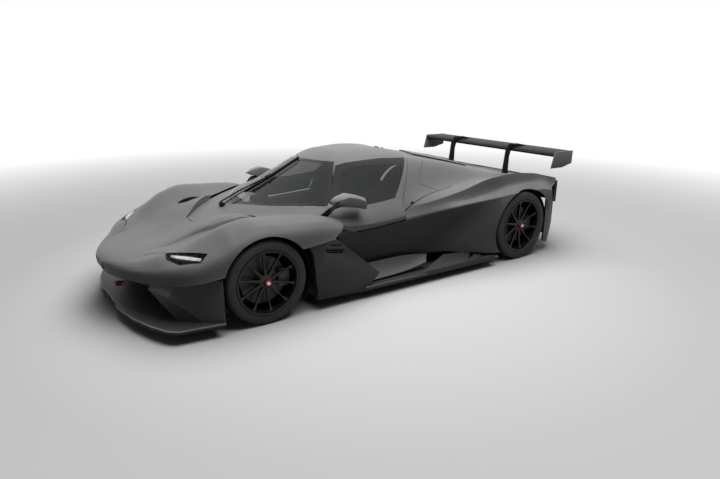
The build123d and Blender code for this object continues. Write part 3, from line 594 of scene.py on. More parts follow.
def modified(piece: Piece, kind: str, **settings: object) -> Piece:
    """Adds one modifier and applies it.

    Args:
        piece: The object.
        kind: The modifier's type.
        settings: The modifier's attributes.

    Returns:
        The same object.
    """
    modifier = piece.modifiers.new(kind.lower(), kind)
    for name, value in settings.items():
        setattr(modifier, name, value)
    return baked(piece)


def cut(piece: Piece, tool: Piece, operation: str = "DIFFERENCE", keep: bool = False) -> Piece:
    """A boolean with another object.

    Args:
        piece: The object that is cut.
        tool: The other object, removed afterwards unless keep is true.
        operation: DIFFERENCE, INTERSECT or UNION.
        keep: Whether the other object stays.

    Returns:
        The cut object.
    """
    modified(piece, "BOOLEAN", object=tool, operation=operation, solver="EXACT")
    if not keep:
        bpy.data.objects.remove(tool)
    return piece


def trimmed(piece: Piece, tool: Piece, keep: str = "OUTSIDE") -> Piece:
    """Cuts an open surface along a closed tool, and adds none of the tool's faces.

    Args:
        piece: The surface.
        tool: The closed tool, removed afterwards.
        keep: "OUTSIDE" or "INSIDE", the side of the tool that stays.

    Returns:
        The trimmed surface.
    """
    mark = tool.data.attributes.new("from_tool", "BOOLEAN", "FACE")
    mark.data.foreach_set("value", [True] * len(tool.data.polygons))
    cut(piece, tool, "INTERSECT" if keep == "INSIDE" else "DIFFERENCE")
    body = bmesh.new()
    body.from_mesh(piece.data)
    layer = body.faces.layers.bool.get("from_tool")
    added = [face for face in body.faces if face[layer]] if layer else []
    bmesh.ops.delete(body, geom=added, context="FACES")
    if layer:
        body.faces.layers.bool.remove(layer)
    body.to_mesh(piece.data)
    body.free()
    return piece


def thickened(piece: Piece, wall: float) -> Piece:
    """Gives a surface a wall on its inner side."""
    return modified(piece, "SOLIDIFY", thickness=wall, offset=-1.0, use_rim=True)


def bevelled(piece: Piece, width: float, segments: int = 2, angle: float = 35.0) -> Piece:
    """Rounds the sharp edges.

    Args:
        piece: The object.
        width: Bevel width in metres.
        segments: Segments across the bevel.
        angle: Edges sharper than this many degrees are rounded.

    Returns:
        The same object.
    """
    return modified(
        piece,
        "BEVEL",
        width=width,
        segments=segments,
        limit_method="ANGLE",
        angle_limit=math.radians(angle),
    )


def smooth(piece: Piece, angle: float = 28.0) -> Piece:
    """Smooth shading, sharp over an angle."""
    piece.data.shade_smooth()
    piece.data.set_sharp_from_angle(angle=math.radians(angle))
    return piece


def copied(piece: Piece, name: str) -> Piece:
    """A copy with its own mesh.

    Args:
        piece: The object.
        name: The copy's name.

    Returns:
        The copy.
    """
    other = piece.copy()
    other.data = piece.data.copy()
    other.name = name
    bpy.context.scene.collection.objects.link(other)
    return other


def mirror_image(piece: Piece, name: str) -> Piece:
    """A copy mirrored about the car's middle.

    Args:
        piece: The object.
        name: The copy's name.

    Returns:
        The mirrored copy.
    """
    other = copied(piece, name)
    other.data.transform(Matrix.Scale(-1.0, 4, Vector((0, 1, 0))))
    other.data.flip_normals()
    return other


def joined(pieces: Sequence[Piece], name: str) -> Piece:
    """One object from several.

    Args:
        pieces: The objects, each removed.
        name: The new object's name.

    Returns:
        The joined object.
    """
    body = bmesh.new()
    for piece in pieces:
        body.from_mesh(piece.data)
        bpy.data.objects.remove(piece)
    mesh = bpy.data.meshes.new(name)
    body.to_mesh(mesh)
    body.free()
    return linked(name, mesh)


def both(piece: Piece, name: str) -> Piece:
    """The piece and its mirror image as one object."""
    return joined([piece, mirror_image(piece, name + "_other")], name)


def dressed(
    piece: Piece, paint: Paint,
    nodes: Iterable[str] = (), angle: float = 28.0, body: Body = Body.CHASSIS,
) -> Piece:
    """Finishes a piece and hands it to its body.

    Args:
        piece: The object.
        paint: Its finish.
        nodes: The CAD nodes that it stands for.
        angle: Edges sharper than this many degrees stay sharp.
        body: The body it rides on.

    Returns:
        The same object.
    """
    smooth(piece, angle)
    piece.data.materials.clear()
    piece.data.materials.append(paint.material())
    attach(piece, body.value)
    for node in nodes:
        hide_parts(node)
    LOG.info("%s: %d faces", piece.name, len(piece.data.polygons))
    return piece


def prism(name: str, outline: Sequence[Pair], low: float, high: float, plane: str) -> Piece:
    """A prism over an outline, all in millimetres.

    Args:
        name: The object's name.
        outline: Points in the plane: (x, y) for "plan", (x, z) for "side", (y, z) for "end".
        low: Start along the third axis.
        high: End along the third axis.
        plane: "plan", "side" or "end".

    Returns:
        The closed prism.
    """
    def put(point: Pair, third: float) -> Triple:
        """One corner in metres."""
        a, b = point
        order = {"plan": (a, b, third), "side": (a, third, b), "end": (third, a, b)}[plane]
        return tuple(v * MM for v in order)

    count = len(outline)
    points = [put(p, low) for p in outline] + [put(p, high) for p in outline]
    faces = [list(range(count))[::-1], list(range(count, 2 * count))]
    faces += [[i, (i + 1) % count, count + (i + 1) % count, count + i] for i in range(count)]
    made = new_object(name, points, faces)
    body = bmesh.new()
    body.from_mesh(made.data)
    bmesh.ops.recalc_face_normals(body, faces=body.faces)
    body.to_mesh(made.data)
    body.free()
    return made


def mirrored_outline(side: Sequence[Pair]) -> list[Pair]:
    """A closed plan outline from its left half."""
    return list(side) + [(x, -y) for x, y in reversed(side) if y > 0]


def flipped(outline: Sequence[Pair], side: int) -> list[Pair]:
    """A plan outline on the left side, or its mirror image where side is -1."""
    return [(x, side * y) for x, y in outline]


def ribbon(line: Sequence[Pair], width: float) -> list[Pair]:
    """A narrow closed outline along a line.

    Args:
        line: The line's points.
        width: The outline's width.

    Returns:
        The outline.
    """
    left, right = [], []
    for i, point in enumerate(line):
        ahead = heading(line, i)
        shift = np.array((-ahead[1], ahead[0])) * width / 2
        left.append(tuple(np.array(point, float) + shift))
        right.append(tuple(np.array(point, float) - shift))
    return left + right[::-1]


def disc_tool(
    name: str, x: float, z: float, radius: float, low: float, high: float, sides: int = 160,
) -> Piece:
    """A cylinder along Y, in millimetres, used as a cutter.

    Args:
        name: The object's name.
        x: The axis's x.
        z: The axis's height.
        radius: Its radius.
        low: Its first y.
        high: Its last y.
        sides: Its sides.

    Returns:
        The cylinder.
    """
    ring = [
        (x + radius * math.cos(a), z + radius * math.sin(a))
        for a in circle(sides)
    ]
    return prism(name, ring, low, high, "side")


@dataclass(frozen=True)
class Press:
    """A crease pressed into a surface along a plan line: a sharp edge that fades out on its left."""

    line: Outline
    depth: float
    width: float
    run_in: float = 0.3
    run_out: float = 0.0
    edge: float = 18.0

    def drop(self, x: float, y: float) -> float:
        """How far a plan point goes down.

        Args:
            x: Millimetres forward.
            y: Millimetres outward.

        Returns:
            The drop in millimetres.
        """
        here = np.array((x, y), float)
        total = sum(math.dist(a, b) for a, b in zip(self.line, self.line[1:]))
        gone, best = 0.0, None
        for a, b in zip(self.line, self.line[1:]):
            start, end = np.array(a, float), np.array(b, float)
            length = float(np.linalg.norm(end - start))
            unit = (end - start) / length
            along = float((here - start) @ unit)
            off = float(unit[0] * (here - start)[1] - unit[1] * (here - start)[0])
            held = min(max(along, 0.0), length)
            miss = float(np.linalg.norm(here - (start + unit * held)))
            if best is None or miss < best[0]:
                best = (miss, off, (gone + along) / total)
            gone += length
        miss, off, share = best
        if off < 0 or miss > self.width or not 0 <= share <= 1:
            return 0.0
        ramp = min(1.0, share / max(self.run_in, 1e-6)) * min(
            1.0, (1 - share) / max(self.run_out, 1e-6),
        )
        ramp *= min(1.0, miss / self.edge)
        fade = 1 - miss / self.width
        return self.depth * ramp * fade * fade * (3 - 2 * fade)


def pressed(piece: Piece, presses: Sequence[Press]) -> Piece:
    """Presses creases into both sides of a surface.

    Args:
        piece: The surface.
        presses: The creases, on the left side.

    Returns:
        The same surface.
    """
    reach = [
        (min(p[0] for p in m.line) - m.width, max(p[0] for p in m.line) + m.width,
         min(p[1] for p in m.line) - m.width, max(p[1] for p in m.line) + m.width, m)
        for m in presses
    ]
    for vertex in piece.data.vertices:
        x, y = vertex.co.x / MM, abs(vertex.co.y) / MM
        for x_low, x_high, y_low, y_high, mark in reach:
            if x_low < x < x_high and y_low < y < y_high:
                vertex.co.z -= mark.drop(x, y) * MM
    return piece


def grown(outline: Sequence[Pair], step: float) -> list[Pair]:
    """An outline moved outwards by a step, inwards when it is negative.

    Args:
        outline: The points, either way round.
        step: Distance in the outline's own units.

    Returns:
        The moved outline.
    """
    area = sum(a[0] * b[1] - b[0] * a[1] for a, b in zip(outline, [*outline[1:], outline[0]]))
    way = 1.0 if area > 0 else -1.0
    moved = []
    count = len(outline)
    for i in range(count):
        before, here, after = (np.array(outline[(i + k) % count], float) for k in (-1, 0, 1))
        u = (here - before) / np.linalg.norm(here - before)
        v = (after - here) / np.linalg.norm(after - here)
        n = np.array((u[1], -u[0])) * way
        m = np.array((v[1], -v[0])) * way
        moved.append(tuple(here + (n + m) * step / max(0.35, 1 + float(n @ m))))
    return moved


def rounded(outline: Sequence[Pair], radius: float, steps: int = 5) -> list[Pair]:
    """An outline with its corners rounded.

    Args:
        outline: The points.
        radius: Distance from a corner at which its curve starts.
        steps: Points on each curve.

    Returns:
        The rounded outline.
    """
    points = []
    count = len(outline)
    for i in range(count):
        before, here, after = (np.array(outline[(i + k) % count], float) for k in (-1, 0, 1))
        a = min(radius, 0.48 * np.linalg.norm(before - here))
        b = min(radius, 0.48 * np.linalg.norm(after - here))
        start = here + (before - here) / np.linalg.norm(before - here) * a
        end = here + (after - here) / np.linalg.norm(after - here) * b
        for t in np.linspace(0, 1, steps):
            points.append(tuple((1 - t) ** 2 * start + 2 * t * (1 - t) * here + t * t * end))
    return points


def lathe(name: str, profile: Sequence[Pair], x: float, z: float, sides: int = 128) -> Piece:
    """A closed ring turned about a line along Y through (x, z), in millimetres.

    Args:
        name: The object's name.
        profile: Closed outline of (radius, y) points.
        x: The axis's x.
        z: The axis's height.
        sides: Steps round the axis.

    Returns:
        The turned object.
    """
    points = [
        ((x + r * math.cos(a)) * MM, y * MM, (z + r * math.sin(a)) * MM)
        for a in circle(sides)
        for r, y in profile
    ]
    return outward(new_object(name, points, grid_faces(sides, len(profile), True, True)))


def outward(piece: Piece) -> Piece:
    """Turns a closed mesh's faces outwards and merges doubled points.

    Args:
        piece: The object.

    Returns:
        The same object.
    """
    body = bmesh.new()
    body.from_mesh(piece.data)
    bmesh.ops.remove_doubles(body, verts=body.verts, dist=1e-6)
    bmesh.ops.recalc_face_normals(body, faces=body.faces)
    body.to_mesh(piece.data)
    body.free()
    return piece


def tube(name: str, path: Sequence[Triple], radius: float, sides: int = 12, flat: float = 1.0) -> Piece:
    """A closed bar swept along straight runs, in millimetres.

    Args:
        name: The object's name.
        path: The centre line's points.
        radius: Half width.
        sides: Sides of the section.
        flat: Height of the section as a share of its width.

    Returns:
        The bar.
    """
    line = [Vector(p) for p in path]
    rings = []
    for i, here in enumerate(line):
        ahead = course(line, i)
        across = ahead.cross(Vector((0, 0, 1)))
        across = across.normalized() if across.length > 1e-3 else Vector((0, 1, 0))
        lift = across.cross(ahead).normalized()
        rings.append(
            [
                (here + across * radius * math.cos(a) + lift * radius * flat * math.sin(a)) * MM
                for a in circle(sides)
            ]
        )
    points = [p for ring in rings for p in ring]
    faces = grid_faces(len(rings), sides, True)
    faces += [list(range(sides)), list(range((len(rings) - 1) * sides, len(rings) * sides))]
    return outward(new_object(name, points, faces))


def hull(name: str, sections: Sequence[Sequence[Triple]]) -> Piece:
    """A closed skin through rings of equal count.

    Args:
        name: The object's name.
        sections: The rings, in millimetres.

    Returns:
        The closed object.
    """
    count = len(sections[0])
    last = (len(sections) - 1) * count
    faces = grid_faces(len(sections), count, True)
    faces += [list(range(count)), list(range(last, last + count))]
    return outward(new_object(name, in_metres(sections), faces))


# ------------------------------------------------------------------ lofted skins


def monotone(places: np.ndarray, values: np.ndarray, at: np.ndarray) -> np.ndarray:
    """A cubic through values that never overshoots them.

    Args:
        places: Rising places.
        values: One value at each place.
        at: Where the curve is wanted.

    Returns:
        The curve's values.
    """
    width = np.diff(places)
    slope = np.diff(values) / width
    tangent = np.zeros_like(values)
    tangent[0], tangent[-1] = slope[0], slope[-1]
    for i in range(1, len(values) - 1):
        if slope[i - 1] * slope[i] > 0:
            a = 2 * width[i] + width[i - 1]
            b = width[i] + 2 * width[i - 1]
            tangent[i] = (a + b) / (a / slope[i - 1] + b / slope[i])
    k = np.clip(np.searchsorted(places, at, side="right") - 1, 0, len(width) - 1)
    t = (at - places[k]) / width[k]
    return (
        (1 + 2 * t) * (1 - t) ** 2 * values[k]
        + t * (1 - t) ** 2 * width[k] * tangent[k]
        + t * t * (3 - 2 * t) * values[k + 1]
        + t * t * (t - 1) * width[k] * tangent[k + 1]
    )


@dataclass
class Skin:
    """A body surface through half sections, smooth along the car and creased across it."""

    rows: Sequence[Row]
    soft: Sequence[float]
    across: int = 10 if FINE else 7
    step: float = 10.0 if FINE else 16.0

    def columns(self, x: float) -> list[np.ndarray]:
        """The half section's control points at a station.

        Args:
            x: The station in millimetres.

        Returns:
            (y, z) points from the middle outwards.
        """
        places = np.array([row[0] for row in self.rows][::-1], float)
        out = []
        for c in range(len(self.rows[0]) - 1):
            pair = [(0.0, row[1]) if c == 0 else row[c + 1] for row in self.rows][::-1]
            at = np.array([x], float)
            y = monotone(places, np.array([p[0] for p in pair], float), at)[0]
            z = monotone(places, np.array([p[1] for p in pair], float), at)[0]
            out.append(np.array((y, z)))
        return out

    def section(self, x: float) -> list[Pair]:
        """The curved half section at a station.

        Args:
            x: The station in millimetres.

        Returns:
            (y, z) points from the middle outwards.
        """
        points = self.columns(x)
        chain = [points[1] * (-1, 1), *points]
        chords = [b - a for a, b in zip(chain, chain[1:])]
        lengths = [max(float(np.linalg.norm(c)), 1e-6) for c in chords]
        units = [c / n for c, n in zip(chords, lengths)]
        curve = []
        for i in range(len(points) - 1):
            unit = units[i + 1]
            near = units[i] * lengths[i + 1] + unit * lengths[i]
            near = near / max(float(np.linalg.norm(near)), 1e-6)
            start = unit + (near - unit) * self.soft[i]
            if i + 2 < len(units):
                later = unit * lengths[i + 2] + units[i + 2] * lengths[i + 1]
                later = later / max(float(np.linalg.norm(later)), 1e-6)
            else:
                later = unit
            end = unit + (later - unit) * self.soft[i + 1]
            n = lengths[i + 1]
            for t in np.linspace(0, 1, self.across, endpoint=i == len(points) - 2):
                curve.append(
                    (1 + 2 * t) * (1 - t) ** 2 * points[i]
                    + t * (1 - t) ** 2 * n * start
                    + t * t * (3 - 2 * t) * points[i + 1]
                    + t * t * (t - 1) * n * end
                )
        return [(float(p[0]), float(p[1])) for p in curve]

    def stations(self, ahead: float, behind: float) -> list[float]:
        """Even stations between two places, front to back."""
        count = max(2, int((ahead - behind) / self.step) + 1)
        return list(np.linspace(ahead, behind, count))

    def surface(
        self, name: str, ahead: float, behind: float, folds: Sequence[Sequence[Triple]] = (),
    ) -> Piece:
        """The open skin between two stations, both sides in one.

        Args:
            name: The object's name.
            ahead: Front station in millimetres.
            behind: Rear station in millimetres.
            folds: Extra full sections put before the first one.

        Returns:
            The surface.
        """
        rings = [list(ring) for ring in folds]
        for x in self.stations(ahead, behind):
            rings.append(self.ring(x))
        return new_object(name, in_metres(rings), grid_faces(len(rings), len(rings[0])))

    def ring(self, x: float) -> list[Triple]:
        """The full section at a station.

        Args:
            x: The station in millimetres.

        Returns:
            Its points from the right side to the left side.
        """
        half = self.section(x)
        right = [(x, -y, z) for y, z in reversed(half[1:])]
        return right + [(x, y, z) for y, z in half]

    def tree(self, ahead: float, behind: float) -> BVHTree:
        """A search tree of the surface, for seating trim on it.

        Args:
            ahead: Front station in millimetres.
            behind: Rear station in millimetres.

        Returns:
            The tree.
        """
        made = self.surface("probe", ahead, behind)
        body = bmesh.new()
        body.from_mesh(made.data)
        found = BVHTree.FromBMesh(body)
        body.free()
        bpy.data.objects.remove(made)
        return found


# ------------------------------------------------------------------ body lines

FRONT_ROWS = [
    (2313, 452, (40, 452), (70, 449), (100, 445), (112, 440), (118, 430), (116, 378)),
    (2285, 474, (80, 471), (140, 466), (190, 457), (212, 448), (226, 432), (222, 366)),
    (2220, 494, (150, 491), (250, 483), (330, 472), (368, 460), (394, 442), (386, 364)),
    (2120, 513, (190, 511), (330, 505), (470, 500), (536, 482), (588, 452), (580, 370)),
    (2000, 531, (220, 535), (380, 534), (590, 557), (706, 534), (800, 492), (806, 396)),
    (1850, 556, (250, 566), (400, 560), (660, 606), (806, 584), (928, 532), (952, 424)),
    (1700, 600, (310, 616), (440, 602), (700, 690), (846, 652), (968, 590), (1000, 450)),
    (1564, 637, (380, 674), (480, 640), (735, 757), (862, 728), (978, 652), (1012, 470)),
    (1375, 700, (433, 722), (520, 676), (752, 794), (926, 762), (986, 704), (1018, 500)),
    (1175, 735, (488, 736), (550, 706), (764, 784), (936, 748), (986, 700), (1018, 545)),
    (900, 750, (560, 745), (640, 716), (784, 764), (932, 728), (972, 684), (1004, 566)),
    (628, 740, (620, 725), (730, 700), (820, 692), (896, 678), (932, 648), (962, 588)),
]
CANOPY_ROWS = [
    (1564, 637, (50, 637), (80, 636), (112, 634), (112, 624)),
    (1400, 690, (130, 688), (210, 682), (284, 670), (284, 652)),
    (1188, 764, (250, 742), (380, 712), (490, 690), (490, 672)),
    (1000, 838, (290, 800), (500, 745), (630, 700), (630, 676)),
    (850, 903, (330, 848), (570, 775), (710, 694), (710, 666)),
    (660, 992, (370, 920), (610, 802), (750, 676), (750, 648)),
    (600, 1022, (376, 942), (625, 814), (850, 640), (850, 612)),
    (450, 1096, (385, 1006), (655, 828), (850, 616), (850, 566)),
    (200, 1152, (425, 1074), (712, 802), (850, 606), (850, 574)),
    (-90, 1154, (465, 1086), (738, 780), (850, 622), (850, 592)),
    (-300, 1130, (474, 1082), (748, 774), (850, 640), (850, 600)),
    (-440, 1104, (466, 1068), (744, 778), (850, 640), (850, 600)),
]
REAR_ROWS = [
    (640, 1100, (250, 1090), (490, 1040), (752, 700), (800, 640), (830, 600), (856, 560), (836, 400)),
    (380, 1150, (250, 1146), (490, 1100), (752, 762), (806, 664), (830, 620), (846, 580), (800, 262)),
    (-60, 1158, (250, 1150), (490, 1102), (755, 762), (806, 680), (828, 638), (850, 598), (806, 226)),
    (-420, 1106, (260, 1078), (467, 1070), (744, 776), (834, 716), (846, 672), (872, 624), (812, 214)),
    (-800, 1036, (260, 984), (462, 1004), (704, 794), (834, 772), (848, 716), (922, 656), (866, 176)),
    (-1165, 958, (260, 896), (500, 916), (692, 812), (852, 856), (872, 758), (982, 688), (972, 118)),
    (-1450, 878, (260, 836), (520, 842), (672, 796), (862, 874), (898, 784), (1008, 706), (1016, 130)),
    (-1750, 800, (260, 780), (500, 794), (646, 772), (862, 850), (904, 778), (1008, 704), (1010, 300)),
    (-2000, 752, (260, 744), (482, 752), (622, 746), (860, 798), (912, 734), (988, 664), (982, 470)),
    (-2176, 736, (260, 730), (480, 736), (620, 730), (846, 758), (888, 704), (944, 654), (930, 560)),
]
CANOPY_FOOT = (
    (1564, 104), (1190, 491), (1167, 560), (790, 755), (660, 775), (600, 862), (-500, 870),
)
CANOPY_EDGE = ((-84, 500), (-84, 600), (-95, 730), (-362, 1056), (-430, 1300))
FRONT_AXLE = (1338, 330)
REAR_AXLE = (-1512, 348)
# where a cutter ends, past every piece
FAR = 1400
# middle, width, outer radius and bead seat radius of the wheels on each axle
FRONT_WHEEL = (FRONT_AXLE, 857, 255, 330, 241)
REAR_WHEEL = (REAR_AXLE, 838, 315, 348, 254)


@dataclass
class FrontBody:
    """The front clamshell with its beak, fenders and lamps."""

    rows: Sequence[Row] = field(default_factory=lambda: FRONT_ROWS)
    soft: tuple[float, ...] = (1.0, 0.7, 0.85, 1.0, 0.55, 0.9, 0.0)
    wall: float = 0.008
    arch_radius: float = 364
    arch_inner: float = 690
    gap: float = 5
    slot: Outline = ((2036, 418), (1972, 500), (1946, 582), (1954, 588), (1980, 508))
    lamp: Outline = ((1972, 600), (1950, 578), (1752, 880), (1820, 914), (1937, 810), (1986, 668))
    tip: Outline = (
        (646, 800), (640, 690), (628, 668), (652, 634), (740, 586), (740, 500), (500, 500), (500, 800),
    )
    creases: tuple[Press, ...] = (
        Press(
            ((1080, 470), (1240, 462), (1390, 440), (1522, 407), (1669, 318), (1856, 303), (2010, 292)),
            24, 95, 0.2, 0.35,
        ),
        Press(((1800, 540), (1960, 399), (2017, 371), (2089, 360), (2173, 347)), 12, 60, 0.25, 0.3),
        Press(((1855, 916), (1976, 822), (2052, 719), (2111, 609)), 8, 50, 0.2, 0.3),
    )
    bar: tuple[tuple[Triple, ...], ...] = (
        ((1934, 618, 568), (1948, 644, 562), (1943, 646, 549), (1926, 620, 554)),
        ((1905, 692, 576), (1924, 726, 566), (1918, 728, 553), (1896, 694, 563)),
        ((1858, 764, 581), (1882, 800, 570), (1876, 802, 558), (1848, 766, 568)),
        ((1799, 862, 583), (1816, 884, 571), (1810, 884, 560), (1792, 862, 571)),
    )
    eyes: tuple[Triple, ...] = ((1900, 640, 560), (1868, 700, 562), (1828, 762, 566))
    # x shift and radius along a projector, back to front
    eye_rings: Outline = ((-22, 17), (0, 20), (3, 19), (5, 13), (2, 11))
    # how far the trays and the lenses lie under the skin, in metres
    tray_drop: float = 0.055
    lens_drop: float = 0.006
    # the beak's lower corners: foremost x, y from and to, height
    corner_x: float = 2304
    corner_span: Pair = (92, 134)
    corner_top: float = 408

    def opening(self) -> list[Pair]:
        """The canopy's opening in plan, with its gap, on the left side."""
        return [(x + self.gap, y + self.gap / 2) for x, y in CANOPY_FOOT]

    def folds(self, skin: Skin) -> list[list[Triple]]:
        """Rings that turn the beak's front edge under.

        Args:
            skin: The skin whose first ring they lead to.

        Returns:
            Three rings, from the inside out.
        """
        first = skin.ring(self.rows[0][0])
        low = min(p[2] for p in first)
        under = [(x - 60, y * 0.96, low + 6) for x, y, z in first]
        lip = [(x - 1 + min(4, (z - low) / 3), y, low + (z - low) * 0.35) for x, y, z in first]
        edge = [(x - 2, y, low) for x, y, z in first]
        return [under, edge, lip]

    def clam(self) -> Piece:
        """The clamshell with its openings."""
        skin = Skin(self.rows, self.soft)
        made = skin.surface("front_clam_skin", self.rows[0][0], self.rows[-1][0], self.folds(skin))
        pressed(made, self.creases)
        trimmed(made, prism("canopy_room", mirrored_outline(self.opening()), 0, FAR, "plan"))
        trimmed(made, prism("behind_tip", self.tip, -FAR, FAR, "side"))
        for side in (1, -1):
            low, high = sorted((side * self.arch_inner, side * FAR))
            trimmed(made, disc_tool("arch", *FRONT_AXLE, self.arch_radius, low, high))
            trimmed(made, prism("lamp_room", flipped(self.lamp, side), 440, FAR, "plan"))
            trimmed(made, prism("brow_slot", flipped(self.slot, side), 440, FAR, "plan"))
        self.blunted(thickened(made, self.wall))
        return dressed(made, Paint.SATIN, ["front_clam"], 24)

    def blunted(self, shell: Piece) -> None:
        """Sets the beak's two lower corners back, where the wall folds over itself.

        Args:
            shell: The thickened clamshell.
        """
        near, far = self.corner_span
        for vertex in shell.data.vertices:
            x, y, z = (v / MM for v in vertex.co)
            if x > self.corner_x and near < abs(y) < far and z < self.corner_top:
                vertex.co.x = self.corner_x * MM

    def flange(self, canopy: Skin) -> None:
        """A narrow wall round the canopy's opening, down past the canopy's edge.

        Args:
            canopy: The canopy's skin.
        """
        upper = Skin(self.rows, self.soft).tree(1700, 640)
        lower = canopy.tree(1563, 600)
        rings = []
        line = self.opening()
        path = [(line[0][0], -line[0][1]), *line]
        for (xa, ya), (xb, yb) in zip(path, path[1:]):
            for t in np.linspace(0, 1, 24, endpoint=False):
                x, y = xa + (xb - xa) * t, ya + (yb - ya) * t
                top = upper.ray_cast(Vector((x * MM, y * MM, 2)), Vector((0, 0, -1)))[0]
                bottom = lower.ray_cast(Vector(((x - 12) * MM, (y - 6) * MM, 2)), Vector((0, 0, -1)))[0]
                if top is not None and bottom is not None and x > 660:
                    high = top.z / MM - 3
                    low = min(high - 6, bottom.z / MM - 10)
                    rings.append([(x, y, low), (x, y, high), (x + 3, y + 3, high), (x + 3, y + 3, low)])
        wall = hull("canopy_flanges", rings)
        dressed(both(wall, "canopy_flanges"), Paint.SATIN, ["front_clam"], 30)

    def lamp_tool(self, step: float) -> Piece:
        """Both lamp openings as one prism tool, grown by a step."""
        tools = [
            prism("lamp_tool", grown(flipped(self.lamp, side), step), 400, FAR, "plan")
            for side in (1, -1)
        ]
        return joined(tools, "lamp_tools")

    def lamps(self) -> None:
        """Lamp housings, light bars, projectors and lenses."""
        skin = Skin(self.rows, self.soft)
        sheets = {}
        for name, drop in (("lamp_trays", self.tray_drop), ("lamp_lenses", self.lens_drop)):
            sheet = skin.surface(name, 2030, 1730)
            sheet.data.transform(Matrix.Translation((0, 0, -drop)))
            sheets[name] = sheet
        tray = thickened(trimmed(sheets["lamp_trays"], self.lamp_tool(4), "INSIDE"), 0.006)
        dressed(tray, Paint.CAVITY, ["headlamps"])
        lens = thickened(trimmed(sheets["lamp_lenses"], self.lamp_tool(-2), "INSIDE"), 0.003)
        dressed(lens, Paint.LENS, ["headlamps"])
        bar = hull("light_bars", self.bar)
        dressed(both(bevelled(bar, 0.003), "light_bars"), Paint.LIGHT_BAR, ["headlamps"])
        eyes = []
        for x, y, z in self.eyes:
            rings = [
                [(x + dx, y + r * math.cos(a), z + r * math.sin(a)) for a in circle(24)]
                for dx, r in self.eye_rings
            ]
            eyes.append(hull("eye", rings))
        eye = joined(eyes, "lamp_projectors")
        dressed(both(eye, "lamp_projectors"), Paint.GLOSS, ["headlamps"])


